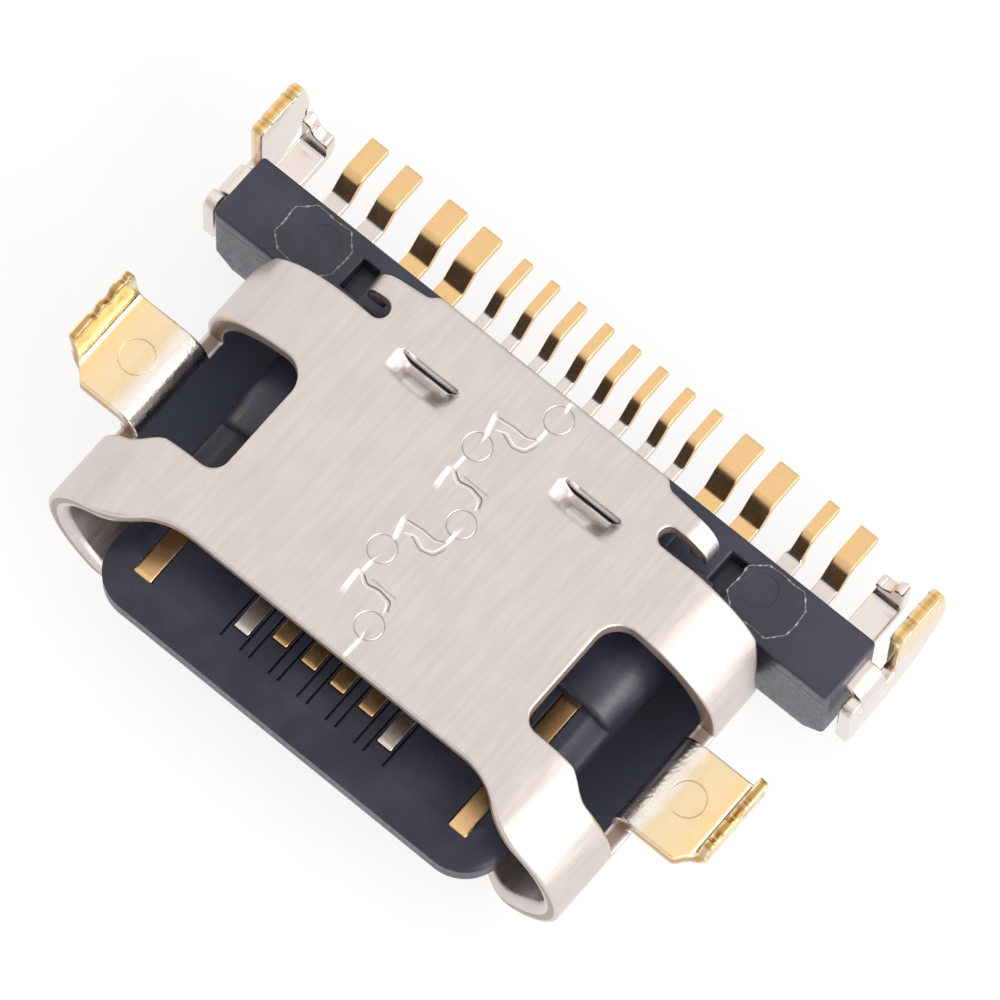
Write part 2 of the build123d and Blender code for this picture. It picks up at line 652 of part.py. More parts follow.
def build_carrier(side):
    """Return the inner block that one row of contacts is moulded into."""
    low_z, high_z = sorted((side * PLATE / 2, side * CARRIER_TOP_Z))
    front = CARRIER_FRONT_WIDTH / 2
    rear = CARRIER_REAR_WIDTH / 2
    with BuildPart() as carrier:
        add(box_between((-front, CARRIER_FRONT_Y, low_z), (front, CARRIER_WAIST_Y, high_z)))
        add(box_between((-rear, CARRIER_WAIST_Y, low_z), (rear, CARRIER_REAR_Y, high_z)))
        if side > 0:
            with BuildSketch(Plane.XY.offset(low_z)) as pads:
                with Locations((LEFT_PAD_X, PAD_Y), (RIGHT_PAD_X, PAD_Y)):
                    Rectangle(PAD_WIDTH, PAD_LENGTH)
                chamfer(pads.vertices(), PAD_BEVEL)
            extrude(amount=BLOCK_TOP_Z - low_z)
    return carrier.part


def tongue_outline(height, half_width, front_y, corner):
    """Return the tongue's plan at a height, its two front corners rounded."""
    rear_y = COLLAR_FRONT_Y + corner
    with BuildSketch(Plane.XY.offset(height)) as outline:
        with BuildLine():
            FilletPolyline(
                (-half_width, rear_y),
                (-half_width, front_y),
                (half_width, front_y),
                (half_width, rear_y),
                radius=corner,
            )
            Line((half_width, rear_y), (-half_width, rear_y))
        make_face()
    return outline.sketch


def build_tongue():
    """Return the tongue: straight nose band, tapering to the contact faces above and below."""
    nose = TONGUE_NOSE_HEIGHT / 2
    with BuildPart() as tongue:
        add(tongue_outline(0, TONGUE_HALF_WIDTH, TONGUE_FRONT_Y, TONGUE_CORNER))
        extrude(amount=nose)
        add(tongue_outline(nose, TONGUE_HALF_WIDTH, TONGUE_FRONT_Y, TONGUE_CORNER))
        add(tongue_outline(TONGUE_HEIGHT / 2, TONGUE_FLAT_HALF_WIDTH, TONGUE_FLAT_FRONT_Y, TONGUE_FLAT_CORNER))
        loft(ruled=True)
        mirror(about=Plane.XY)
        for front_x in [entry[0] for entry in UPPER_ROW if abs(entry[0]) < OUTER_FROM_X]:
            for groove_x in (front_x - GROOVE_OFFSET, front_x + GROOVE_OFFSET):
                with Locations((groove_x, -GROOVE_LEAD, TONGUE_HEIGHT / 2)):
                    Box(
                        GROOVE_WIDTH,
                        GROOVE_LENGTH,
                        2 * GROOVE_DEPTH,
                        align=(Align.CENTER, Align.MAX, Align.CENTER),
                        mode=Mode.SUBTRACT,
                    )
    return tongue.part


def build_housing(inserts):
    """Return the black moulding, with room left for every piece that sits in it."""
    inner_width = SHELL_WIDTH - 2 * SHEET
    inner_height = SHELL_HEIGHT - 2 * SHEET
    block_x = BLOCK_WIDTH / 2
    saddle_x = SADDLE_WIDTH / 2
    saddle_top = SHELL_HEIGHT / 2 - SHEET - SADDLE_CLEARANCE
    with BuildPart() as housing:
        with BuildSketch(Plane.XZ.offset(-BLOCK_REAR_Y)):
            with BuildLine():
                Polyline(
                    (0, BLOCK_TOP_Z),
                    (block_x - BLOCK_TOP_BEVEL, BLOCK_TOP_Z),
                    (block_x, BLOCK_TOP_Z - BLOCK_TOP_BEVEL),
                    (block_x, BLOCK_LOW_Z + BLOCK_LOW_BEVEL),
                    (block_x - BLOCK_LOW_BEVEL, BLOCK_LOW_Z),
                    (0, BLOCK_LOW_Z),
                    close=True,
                )
            make_face()
            mirror(about=Plane.YZ)
        extrude(amount=BLOCK_REAR_Y - BLOCK_FRONT_Y)
        add(box_between((-saddle_x, BLOCK_FRONT_Y, BLOCK_TOP_Z), (saddle_x, SADDLE_REAR_Y, saddle_top)))
        low = (-LEDGE_HALF_WIDTH, BLOCK_FRONT_Y, BLOCK_TOP_Z)
        add(box_between(low, (LEDGE_HALF_WIDTH, LEDGE_REAR_Y, LEDGE_TOP_Z)))
        with BuildSketch(Plane.XZ.offset(-BLOCK_FRONT_Y)):
            SlotOverall(inner_width - 2 * PLUG_CLEARANCE, inner_height - 2 * PLUG_CLEARANCE)
        extrude(amount=BLOCK_FRONT_Y - PLUG_FRONT_Y)
        with BuildSketch(Plane.XZ.offset(-PLUG_FRONT_Y)):
            RectangleRounded(COLLAR_WIDTH, COLLAR_HEIGHT, COLLAR_BEND)
        extrude(amount=PLUG_FRONT_Y - COLLAR_FRONT_Y)
        for side in (-1, 1):
            x_range = sorted((side * POCKET_START_X, side * POCKET_END_X))
            low = (x_range[0], POCKET_FRONT_Y, BLOCK_TOP_Z - POCKET_DEPTH)
            high = (x_range[1], POCKET_REAR_Y, BLOCK_TOP_Z)
            add(box_between(low, high), mode=Mode.SUBTRACT)
        add(build_tongue())
        for insert in inserts:
            add(insert, mode=Mode.SUBTRACT)
    return housing.part


lances = build_lances()
shell = build_shell(lances)
mid_plate = build_mid_plate()
upper_contacts = [build_contact(entry, 1) for entry in UPPER_ROW]
lower_contacts = [build_contact(entry, -1) for entry in LOWER_ROW]
contacts = upper_contacts + lower_contacts
carriers = [build_carrier(1), build_carrier(-1)]
housing = build_housing([*carriers, mid_plate, lances, *contacts])

with BuildPart() as upper_carrier:
    add(carriers[0])
    for contact in upper_contacts:
        add(contact, mode=Mode.SUBTRACT)
    with BuildSketch(Plane.XY.offset(BLOCK_TOP_Z)):
        with Locations((LEFT_EJECTOR_X, EJECTOR_Y), (RIGHT_EJECTOR_X, EJECTOR_Y)):
            Circle(EJECTOR_RADIUS)
    extrude(amount=-EJECTOR_DEPTH, mode=Mode.SUBTRACT)

with BuildPart() as lower_carrier:
    add(carriers[1])
    for contact in lower_contacts:
        add(contact, mode=Mode.SUBTRACT)

save(shell, "shell")
save(housing, "housing")
save(mid_plate, "mid_plate")
save(upper_carrier.part, "upper_carrier")
save(lower_carrier.part, "lower_carrier")
for number, contact in enumerate(upper_contacts, start=1):
    save(contact, f"upper_contact_{number}")
for number, contact in enumerate(lower_contacts, start=1):
    save(contact, f"lower_contact_{number}")
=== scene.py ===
import math
import bmesh
import bpy
import numpy as np
from mathutils import Matrix, Vector
from mathutils.geometry import delaunay_2d_cdt


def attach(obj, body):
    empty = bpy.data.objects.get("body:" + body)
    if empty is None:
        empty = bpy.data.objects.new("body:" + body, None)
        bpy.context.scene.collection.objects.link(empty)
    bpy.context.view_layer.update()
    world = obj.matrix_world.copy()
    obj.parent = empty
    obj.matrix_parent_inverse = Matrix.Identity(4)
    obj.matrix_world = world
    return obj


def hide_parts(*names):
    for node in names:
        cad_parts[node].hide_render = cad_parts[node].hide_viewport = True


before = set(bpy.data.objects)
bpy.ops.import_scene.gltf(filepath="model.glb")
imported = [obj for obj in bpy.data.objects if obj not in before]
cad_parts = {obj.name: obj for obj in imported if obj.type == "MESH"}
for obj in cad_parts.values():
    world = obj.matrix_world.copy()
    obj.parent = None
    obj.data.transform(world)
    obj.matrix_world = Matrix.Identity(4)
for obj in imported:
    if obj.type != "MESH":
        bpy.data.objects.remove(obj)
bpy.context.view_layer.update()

# A charging port connector, seen from above its mouth. Sizes are millimetres in the
# connector's own terms: x across, z up from the tongue's middle plane, and y to the rear
# from the front end of the inner contacts. place() turns them into the frame's metres.
FRAME_Y = 2.685
FRAME_Z = 1.58
MM = 0.001


def place(x, y, z):
    """Return a point of the connector as metres in the frame."""
    return Vector((x, y - FRAME_Y, z + FRAME_Z)) * MM


def colour(code):
    """Turn an sRGB hex colour into the linear RGBA that a socket takes."""
    channels = [int(code[i:i + 2], 16) / 255 for i in (0, 2, 4)]
    linear = [c / 12.92 if c <= 0.04045 else ((c + 0.055) / 1.055) ** 2.4 for c in channels]
    return (*linear, 1.0)


def add_object(name, data):
    """Return a new object that holds the data, in the scene."""
    thing = bpy.data.objects.new(name, data)
    bpy.context.scene.collection.objects.link(thing)
    return thing


# Materials


def feed(node, sources):
    """Fill a node's inputs, each with a value or a link."""
    for key, source in sources.items():
        if isinstance(source, bpy.types.NodeSocket):
            node.id_data.links.new(source, node.inputs[key])
        else:
            node.inputs[key].default_value = source


def add_node(beside, kind, sources, **settings):
    """Add a node to the tree of a node or socket, set its properties and fill its inputs."""
    node = beside.id_data.nodes.new("ShaderNode" + kind)
    for name, value in settings.items():
        setattr(node, name, value)
    feed(node, sources)
    return node


def object_millimetres(shader, stretch=(1, 1, 1)):
    """Return Object coordinates in millimetres, scaled along each axis."""
    source = add_node(shader, "TexCoord", {}).outputs["Object"]
    sources = {"Vector": source, "Scale": [1 / MM * s for s in stretch]}
    return add_node(shader, "Mapping", sources).outputs["Vector"]


def new_material(name, roughness, metallic=0.0):
    """Return a material, its shader with the plain numbers on it, and coordinates in millimetres."""
    material = bpy.data.materials.new(name)
    material.use_nodes = True
    shader = material.node_tree.nodes["Principled BSDF"]
    feed(shader, {"Roughness": roughness, "Metallic": metallic})
    return material, shader, object_millimetres(shader)


def axes(vector):
    """Return the X, Y and Z of a vector."""
    return add_node(vector, "SeparateXYZ", {"Vector": vector}).outputs


def attribute(shader, name):
    """Return one of the piece's own attributes as a value."""
    return add_node(shader, "Attribute", {}, attribute_name=name).outputs["Fac"]


def noise(vector, scale, detail=3.0, roughness=0.55):
    """Return a noise value on a vector in millimetres; scale is grains per millimetre."""
    sources = {"Vector": vector, "Scale": scale, "Detail": detail, "Roughness": roughness}
    return add_node(vector, "TexNoise", sources).outputs["Fac"]


def ramp(value, low, high, low_result=0, high_result=1):
    """Return a value carried smoothly from one range to another, held at both ends."""
    sources = {"Value": value, "From Min": low, "From Max": high,
               "To Min": low_result, "To Max": high_result}
    return add_node(value, "MapRange", sources, interpolation_type="SMOOTHSTEP").outputs[0]


def math_node(operation, first, second=0.0):
    """Return one sum, product or comparison."""
    return add_node(first, "Math", {0: first, 1: second}, operation=operation).outputs[0]


def times(first, second):
    """Return a product."""
    return math_node("MULTIPLY", first, second)


def overlay(shade, code, share):
    """Return a shade, a socket or a linear RGBA, with a share of a hex colour over it."""
    sources = {"Factor": share, 6: shade, 7: colour(code)}
    return add_node(share, "Mix", sources, data_type="RGBA").outputs[2]


def tint(shade, code, value, low, high, most=1):
    """Lay a hex colour over a shade: none of it where the value is low, most where it is high."""
    return overlay(shade, code, ramp(value, low, high, 0, most))


def bump(height, strength, distance, **under):
    """Return a normal that carries a height; distance is the height's reach in millimetres."""
    sources = {"Height": height, "Strength": strength, "Distance": distance * MM, **under}
    return add_node(height, "Bump", sources).outputs["Normal"]


def rolled_nickel():
    """Satin nickel on rolled steel sheet: fine streaks from mouth to rear under soft mottling."""
    material, shader, spot = new_material("rolled_steel_satin_nickel", 0.34, 1.0)
    # the streaks and the mottling keep the flat top from looking like plain paint
    streaks = noise(object_millimetres(shader, (15, 1.1, 15)), 1.0, 4.0)
    shade = tint(colour("D3C9C6"), "DBD3D1", streaks, 0.3, 0.7)
    shade = tint(shade, "C8BFBD", noise(spot, 1.6), 0.35, 0.7, 0.28)
    # sheared edges are bare and brown
    cut = attribute(shader, "cut")
    sheared = ramp(cut, 0.02, 0.4)
    shade = overlay(shade, "85705F", times(sheared, 0.85))
    # painted shade and reflection: inside, behind the mouth, the sheet's inner face is painted a blue black
    # and made less metallic
    inner = times(ramp(cut, -0.1, -0.8), ramp(axes(spot)["Y"], -2.2, -1.6))
    shade = overlay(shade, "7C8296", inner)
    # painted highlights and painted shade: the coined joint shines, with thin dark lines, and so do the
    # lances, slit walls and ears
    painted_shine = attribute(shader, "painted_shine")
    shade = tint(shade, "FFFFFF", painted_shine, 0.1, 0.9)
    shade = tint(shade, "6E6562", painted_shine, -0.1, -0.9)
    # a fine orange peel lies under the streaks
    height = math_node("ADD", streaks, times(noise(spot, 14.0), 0.5))
    feed(shader, {"Base Color": shade, "Roughness": ramp(streaks, 0.25, 0.75, 0.30, 0.40),
                  "Metallic": ramp(math_node("MAXIMUM", sheared, inner), 0, 1, 1, 0.35),
                  "Normal": bump(height, 0.11, 0.01)})
    return material


def tab_gold():
    """Gold flash over nickel on the board tabs: bright at the root's bend, deeper on the flange."""
    material, shader, spot = new_material("gold_flashed_steel_tab", 0.3, 1.0)
    parts = axes(spot)
    x, z = math_node("ABSOLUTE", parts["X"]), parts["Z"]
    drift = noise(spot, 2.5)
    reach = math_node("ADD", x, times(drift, 0.16))
    shade = tint(colour("F4ECE6"), "F0D9B4", reach, 4.60, 4.78)
    shade = tint(shade, "F8D9A0", reach, 5.00, 5.45)
    # a painted highlight runs along the crease of the flange, and the flange above it is the brightest gold
    crease_highlight = times(ramp(x, 5.30, 5.34), ramp(x, 5.37, 5.40, 1, 0))
    shade = overlay(shade, "FFFDF4", times(crease_highlight, ramp(z, 1.99, 2.03, 1, 0)))
    raised = times(ramp(z, 1.99, 2.04), ramp(x, 5.2, 5.3))
    shade = overlay(shade, "FFF0C0", raised)
    # where the flange is torn, and along its cut edges, the gold is thin and brown
    shade = overlay(shade, "B27C3A", times(raised, ramp(noise(spot, 4.0), 0.42, 0.68, 0, 0.6)))
    shade = tint(shade, "B98A50", attribute(shader, "cut"), 0.1, 0.6, 0.85)
    # a punch left a fine ring in the flat
    flat = add_node(shader, "CombineXYZ", {"X": x, "Y": parts["Y"]}).outputs["Vector"]
    sources = {0: flat, 1: (4.82, 1.84 - FRAME_Y, 0)}
    away = add_node(shader, "VectorMath", sources, operation="DISTANCE").outputs["Value"]
    off_ring = math_node("ABSOLUTE", math_node("SUBTRACT", away, 0.26))
    ring = times(times(ramp(off_ring, 0, 0.014, 1, 0), ramp(drift, 0.38, 0.50, 0.2, 1)), 0.4)
    shade = overlay(shade, "94703F", ring)
    # the bend is coined and grainy, the flat is smooth
    band = times(ramp(reach, 4.4, 4.6, 0.3, 1.0), ramp(reach, 4.8, 4.95, 1.0, 0.08))
    height = math_node("SUBTRACT", times(noise(spot, 20.0, 4.0), band), ring)
    feed(shader, {"Base Color": shade, "Roughness": ramp(drift, 0.3, 0.7, 0.2, 0.34),
                  "Normal": bump(height, 0.7, 0.02)})
    return material


def moulded_plastic(name, dark, pale, roughness, gloss=0.5):
    """Black glass-filled plastic, moulded: cool grey body with fine grain and pale specks."""
    material, shader, spot = new_material(name, roughness)
    grain = noise(spot, 14.0, 4.0, 0.65)
    body = tint(colour(dark), pale, noise(spot, 1.1, 2.0), 0.35, 0.65)
    # specks of filler show as tiny pale dots
    body = tint(body, "8A8C94", noise(spot, 30.0, 1.0), 0.70, 0.80, 0.12)
    # a mould's edges are never quite sharp
    soft = add_node(shader, "Bevel", {"Radius": 0.03 * MM}, samples=4).outputs["Normal"]
    feed(shader, {"Base Color": body, "Specular IOR Level": gloss,
                  "Roughness": ramp(grain, 0.3, 0.7, roughness - 0.06, roughness + 0.08),
                  "Normal": bump(grain, 0.12, 0.012, Normal=soft)})
    return material


def plated_contact(name, blade, near, foot):
    """Stamped copper alloy, plated: one finish on the tongue, one on the low part, one on the foot."""
    material, shader, spot = new_material(name, 0.28, 1.0)
    drift = noise(spot, 5.0)
    # the plating's edge wanders, as it does where a strip was dipped
    edge = math_node("ADD", axes(spot)["Y"], times(drift, 0.10))
    shade = tint(colour(foot), blade, edge, -3.2, -2.9)
    # painted shade: the blades darken to brown deep in the mouth, under the shell
    shade = tint(shade, "6A4A30", edge, -2.75, -1.9, 0.75)
    shade = tint(shade, near, edge, 1.0, 1.2)
    shade = tint(shade, foot, edge, 2.82, 2.90)
    # drawing marks run along the strip
    shade = tint(shade, "B89A78", noise(object_millimetres(shader, (30, 8, 30)), 1.0), 0.45, 0.8, 0.15)
    feed(shader, {"Base Color": shade, "Roughness": ramp(drift, 0.3, 0.7, 0.24, 0.30),
                  "Normal": bump(drift, 0.10, 0.01)})
    return material


def plate_metal():
    """Folded steel plate with nickel, golden where its cut edges were plated last."""
    material, shader, spot = new_material("folded_steel_nickel_plate", 0.3, 1.0)
    parts = axes(spot)
    drift = noise(spot, 3.0)
    # gold was flashed on from outside and above, so it ends along the wing's outer skin
    outer = times(ramp(math_node("ABSOLUTE", parts["X"]), 5.49, 5.54), ramp(parts["Y"], 2.4, 2.6))
    height = math_node("ADD", parts["Z"], times(drift, 0.5))
    shade = overlay(colour("E6DDD8"), "F1D6A6", times(ramp(height, 1.60, 1.9), outer))
    shade = tint(shade, "E3B66C", times(attribute(shader, "cut"), outer), 0.2, 0.8)
    feed(shader, {"Base Color": shade, "Roughness": ramp(drift, 0.3, 0.7, 0.14, 0.26),
                  "Normal": bump(noise(spot, 7.0), 0.10, 0.01)})
    return material


GOLD = "EBC48F"
NICKEL = "DDD4CF"
shell_finish = rolled_nickel()
tab_finish = tab_gold()
housing_finish = moulded_plastic("moulded_black_nylon", "282A38", "323446", 0.34)
# the tongue and plug take a second copy of the block's nylon, a little smoother, whose low gloss paints the
# shade inside the shell
tongue_finish = moulded_plastic("smoother_black_nylon_painted_shade", "2C2E3A", "373946", 0.28, 0.22)
carrier_finish = moulded_plastic("moulded_black_carrier_nylon", "282A38", "323445", 0.36)
plate_finish = plate_metal()
fine_finish = plated_contact("gold_on_nickel_contact", GOLD, NICKEL, GOLD)
power_finish = plated_contact("nickel_blade_gold_tail_contact", NICKEL, GOLD, GOLD)

finishes = {"shell": shell_finish, "housing": housing_finish, "mid_plate": plate_finish,
            "upper_carrier": carrier_finish, "lower_carrier": carrier_finish}
for name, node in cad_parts.items():
    contact_finish = power_finish if name[-1] in "27" else fine_finish
    node.data.materials.clear()
    node.data.materials.append(finishes.get(name, contact_finish))


# Sheet pieces

# the flat strip kept beside every rounded edge
RIM = 0.012
# points closer than this become one
WELD = 2e-4
# so many points are compared at a time, to spare memory
BATCH = 2000


def smooth(t):
    """Return 3t^2 - 2t^3, held at 0 and 1."""
    t = np.clip(t, 0, 1)
    return t * t * (3 - 2 * t)


def divide(path, spacing, closed=True):
    """Return the path with its long runs divided so that no two points are far apart."""
    ends = np.roll(path, -1, 0) if closed else path[1:]
    starts = path if closed else path[:-1]
    counts = np.ceil(np.hypot(*(ends - starts).T) / spacing).astype(int)
    pieces = [a + (b - a) * np.arange(n)[:, None] / n for a, b, n in zip(starts, ends, counts) if n]
    return np.concatenate(pieces + ([] if closed else [path[-1:]]))


def rounded_path(rows, spacing, closed=True, step=0.04):
    """Return the path of (u, v, corner radius) rows: corners turned to arcs, long runs divided."""
    rows = np.array(rows, float)
    points = []
    for row, before, after in zip(rows, np.roll(rows, 1, 0), np.roll(rows, -1, 0)):
        corner, radius = row[:2], row[2]
        if radius == 0:
            points.append(corner[None])
            continue
        back, ahead = before[:2] - corner, after[:2] - corner
        back, ahead = back / np.hypot(*back), ahead / np.hypot(*ahead)
        half = math.acos(np.clip(back @ ahead, -1, 1)) / 2
        middle = (back + ahead) / np.linalg.norm(back + ahead)
        centre = corner + middle * radius / math.sin(half)
        first, last = (math.atan2(*(corner + way * radius / math.tan(half) - centre)[::-1])
                       for way in (back, ahead))
        turn = (last - first + math.pi) % (2 * math.pi) - math.pi
        angles = first + turn * np.linspace(0, 1, max(3, int(abs(turn) * radius / step) + 3))
        points.append(centre + radius * np.stack([np.cos(angles), np.sin(angles)], 1))
    return divide(np.concatenate(points), spacing, closed)


def bend(t, start, radius, most=math.pi / 2):
    """Return the angle turned at t round a bend that starts at start, and the run left after it."""
    return np.clip((t - start) / radius, 0, most), np.maximum(t - start - radius * most, 0)


def lay(top):
    """Return the fold of a flat piece: depth runs down from its top."""
    return lambda x, y, depth: np.stack([x, y, top - depth], 1)


def net_faces(index):
    """Return the four-cornered faces of a net of point numbers, each row of it a closed ring."""
    ahead = np.roll(index, -1, 1)
    return np.stack([index[:-1], index[1:], ahead[1:], ahead[:-1]], -1).reshape(-1, 4)


def outward(loop, free):
    """Return the unit direction out of the sheet at each point of a loop, sheet on its left.

    It is the miter of the two edges that meet there, or of the free one where one isn't.
    """
    edge = np.roll(loop, -1, 0) - loop
    edge = edge / np.maximum(np.hypot(*edge.T), 1e-9)[:, None]
    normal = np.stack([edge[:, 1], -edge[:, 0]], 1)
    after, before = normal, np.roll(normal, 1, 0)
    kept = ((free > 0) & (np.roll(free, -1) > 0))[:, None]
    both = np.where(kept, after, before) + np.where(np.roll(kept, 1, 0), before, after)
    return both / np.maximum((both ** 2).sum(1), 0.6)[:, None] * 2


def inside(points, loops):
    """Tell which points lie within the loops by the even-odd rule."""
    found = np.zeros(len(points), bool)
    for loop in loops:
        (ax, ay), (bx, by) = loop.T, np.roll(loop, -1, 0).T
        slope = (bx - ax) / np.where(by == ay, 1, by - ay)
        for first in range(0, len(points), BATCH):
            x, y = points[first:first + BATCH].T[..., None]
            crossed = ((ay > y) != (by > y)) & (x < ax + slope * (y - ay))
            found[first:first + BATCH] ^= crossed.sum(1) % 2 == 1
    return found


def fill(loops, lines, extra, grid):
    """Triangulate the sheet between the loops: grid points, extra points and drawn lines."""
    everything = np.concatenate(loops)
    low, high = everything.min(0), everything.max(0)
    extra = np.reshape(extra, (-1, 2))
    steps = np.maximum(np.ceil((high - low) / grid).astype(int), 1)
    net = np.meshgrid(*[np.linspace(*ends) for ends in zip(low, high, steps + 1)])
    net = np.stack(net, -1).reshape(-1, 2)
    near = np.concatenate([everything, *lines, extra])
    clear = [((part[:, None] - near) ** 2).sum(-1).min(1) > (0.45 * min(grid)) ** 2
             for part in np.array_split(net, len(net) // BATCH + 1)]
    net = net[np.concatenate(clear)]
    net = net[inside(net, loops)]
    paths, edges, start = [*loops, *lines], [], 0
    for number, path in enumerate(paths):
        index = np.arange(start, start + len(path))
        pairs = np.stack([index, np.roll(index, -1)], 1)
        edges.append(pairs if number < len(loops) else pairs[:-1])
        start += len(path)
    points = np.concatenate([*paths, net, extra])
    result = delaunay_2d_cdt([Vector(p) for p in points], np.concatenate(edges).tolist(), [], 0, 1e-6)
    corners = np.array([tuple(v) for v in result[0]])
    faces = np.array([f for f in result[2] if len(f) == 3])
    faces = faces[inside(corners[faces].mean(1), loops)]
    a, b, c = corners[faces].transpose(1, 0, 2)
    turned = np.cross(b - a, c - a) < 0
    faces[turned] = faces[turned][:, ::-1]
    return corners, faces


def plate(loops, outer_free, inner_free, rounding, thickness, fold, grid, lines=(), extra=(),
          painted_shine=None, under=(), walls=((), ())):
    """Return points, faces, and the cut and painted shine values of a sheet with rounded edges.

    Each level is the outline moved in by r(1 - sin a) at depth r(1 - cos a), with a from 0
    to a right angle on the outer face and back again on the inner face. Where an edge isn't
    free, r is 0. The two faces are filled, with lines drawn in the outer one and under in
    the inner one, and fold(u, v, depth) bends everything. walls are the depths of more
    levels on each half of the edge. The cut value is 1 at half depth along the edges and
    -1 on the inner face, and painted_shine(u, v, depth) gives the painted highlight and shade.
    """
    turns = np.linspace(0, math.pi / 2, 4)
    vertices, faces, start = [], [], 0
    for side, free in ((0, outer_free), (1, inner_free)):
        supports = []
        for k, loop in enumerate(loops):
            r = rounding * free[k]
            out = outward(loop, free[k])
            levels = [(r + RIM * (free[k] > 0), 0 * r)]
            levels += [(r * (1 - math.sin(a)), r * (1 - math.cos(a))) for a in turns]
            rings = [(loop - out * inset[:, None], depth) for inset, depth in levels]
            supports.append(rings[0][0])
            rings += [(loop, np.full(len(loop), level)) for level in walls[side]]
            rings.append((loop, np.full(len(loop), thickness / 2)))
            stack = np.concatenate([np.column_stack([p, thickness - depth if side else depth])
                                    for p, depth in rings])
            quads = net_faces(start + np.arange(len(stack)).reshape(len(rings), -1))
            faces.append(quads[:, ::-1] if side else quads)
            vertices.append(stack)
            start += len(stack)
        corners, triangles = fill(supports, under if side else lines, extra, grid)
        vertices.append(np.column_stack([corners, np.full(len(corners), thickness * side)]))
        faces.append(start + (triangles[:, ::-1] if side else triangles))
        start += len(corners)
    flat = np.concatenate(vertices)
    cut = (np.abs(flat[:, 2] - thickness / 2) < 1e-9).astype(float) - (flat[:, 2] > thickness - 1e-6)
    shine = painted_shine(*flat.T) if painted_shine else np.zeros(len(flat))
    return fold(*flat.T), [row for block in faces for row in block.tolist()], cut, shine


def moulded(loops, fold, thickness, rounding, number, rounded=(1, 1), walls=((), ()), grid=(0.6, 0.6),
            spacing=0.15):
    """Return a filled block between two faces; rounded says which face has rounded edges."""
    paths = [rounded_path(rows, spacing) for rows in loops]
    free = [[np.full(len(path), float(share)) for path in paths] for share in rounded]
    return (*plate(paths, *free, rounding, thickness, fold, grid, walls=walls), number)


def add_piece(name, parts, materials, replaced=()):
    """Join parts of (points in mm, faces, cut, painted shine, material number) into one smooth piece."""
    points, faces, numbers, start = [], [], [], 0
    for part_points, part_faces, _, _, number in parts:
        points.append(part_points)
        faces += [[start + i for i in face] for face in part_faces]
        numbers += [number] * len(part_faces)
        start += len(part_points)
    mesh = bpy.data.meshes.new(name)
    mesh.from_pydata(np.concatenate(points).tolist(), [], faces)
    mesh.polygons.foreach_set("material_index", numbers)
    for column, label in ((2, "cut"), (3, "painted_shine")):
        layer = mesh.attributes.new(label, "FLOAT", "POINT")
        layer.data.foreach_set("value", np.concatenate([part[column] for part in parts]))
    work = bmesh.new()
    work.from_mesh(mesh)
    bmesh.ops.remove_doubles(work, verts=work.verts, dist=WELD)
    bmesh.ops.dissolve_degenerate(work, edges=work.edges, dist=WELD / 2)
    bmesh.ops.recalc_face_normals(work, faces=work.faces)
    work.to_mesh(mesh)
    work.free()
    placed = np.empty(len(mesh.vertices) * 3)
    mesh.vertices.foreach_get("co", placed)
    placed = (placed.reshape(-1, 3) + (0, -FRAME_Y, FRAME_Z)) * MM
    mesh.vertices.foreach_set("co", placed.ravel())
    mesh.polygons.foreach_set("use_smooth", [True] * len(mesh.polygons))
    mesh.set_sharp_from_angle(angle=math.radians(35))
    mesh.update()
    for material in materials:
        mesh.materials.append(material)
    piece = add_object(name, mesh)
    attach(piece, "root")
    if replaced:
        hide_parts(*replaced)


# Shell: s is the length across the flat sheet from the middle of its top

SHEET = 0.30
HALF_FLAT = 2.89
HALF_HEIGHT = 1.58
MIDDLE_RADIUS = HALF_HEIGHT - SHEET / 2
HINGE = HALF_FLAT + MIDDLE_RADIUS * math.pi / 2
BOTTOM = 2 * HALF_FLAT + MIDDLE_RADIUS * math.pi
REAR_Y = 4.02
SLOT_Y = 4.17
EAR_BEND = 0.25
EAR_REACH = 0.16
LANCE_X = (0.90, 1.93)
LANCE_Y = (3.50, 3.90)
LANCE_DEPTH = 0.27
SLIT = 0.04
SEAM_HALF = 0.9
MARK_RADIUS = 0.205
MARK_LINE = 0.012
WINDOW_Y = (0.95, 2.87)
TAB_Y = (1.07, 2.56)
SPACING = 0.07


def rolled_x(s, depth=0):
    """Return |x| of the rolled sheet: level, then round with the half height as radius, then level."""
    a = np.abs(s)
    turn = bend(a, HALF_FLAT, MIDDLE_RADIUS, math.pi)[0]
    x = np.where(a < HALF_FLAT, a, HALF_FLAT + (HALF_HEIGHT - depth) * np.sin(turn))
    return np.where(a > HALF_FLAT + MIDDLE_RADIUS * math.pi, BOTTOM - a, x)


def length_at_height(z):
    """Return the length s at which the round side has this z."""
    return HALF_FLAT + MIDDLE_RADIUS * math.acos(z / HALF_HEIGHT)


def rim_y(s):
    """Return the mouth's front edge: level in the middle, two equal arcs, level at the sides."""
    start_x, end_x, middle_y, side_y = 2.35, 3.80, 0.08, -0.435
    half, drop = (end_x - start_x) / 2, (middle_y - side_y) / 2
    radius = (half ** 2 + drop ** 2) / (2 * drop)
    x = np.clip(rolled_x(s), start_x, end_x)
    first = middle_y - radius + np.sqrt(radius ** 2 - np.minimum(x - start_x, half) ** 2)
    last = side_y + radius - np.sqrt(radius ** 2 - np.minimum(end_x - x, half) ** 2)
    return np.where(x < start_x + half, first, last)


def lance_place(x, y):
    """Return how far across its lance, left to right, and how far along it a point lies, 0 to 1."""
    across = (x - np.where(x < 0, -LANCE_X[1], LANCE_X[0])) / (LANCE_X[1] - LANCE_X[0])
    return across, (y - LANCE_Y[0]) / (LANCE_Y[1] - LANCE_Y[0])


def lance_drop(x, y):
    """Return how far a lance is pressed in: nothing at its ends and front, most at its rear."""
    across, along = lance_place(x, y)
    reach = smooth((across + 0.04) / 0.26) * smooth((1.04 - across) / 0.26)
    return np.where(along < 1.04, LANCE_DEPTH * reach * smooth(along / 0.85), 0)


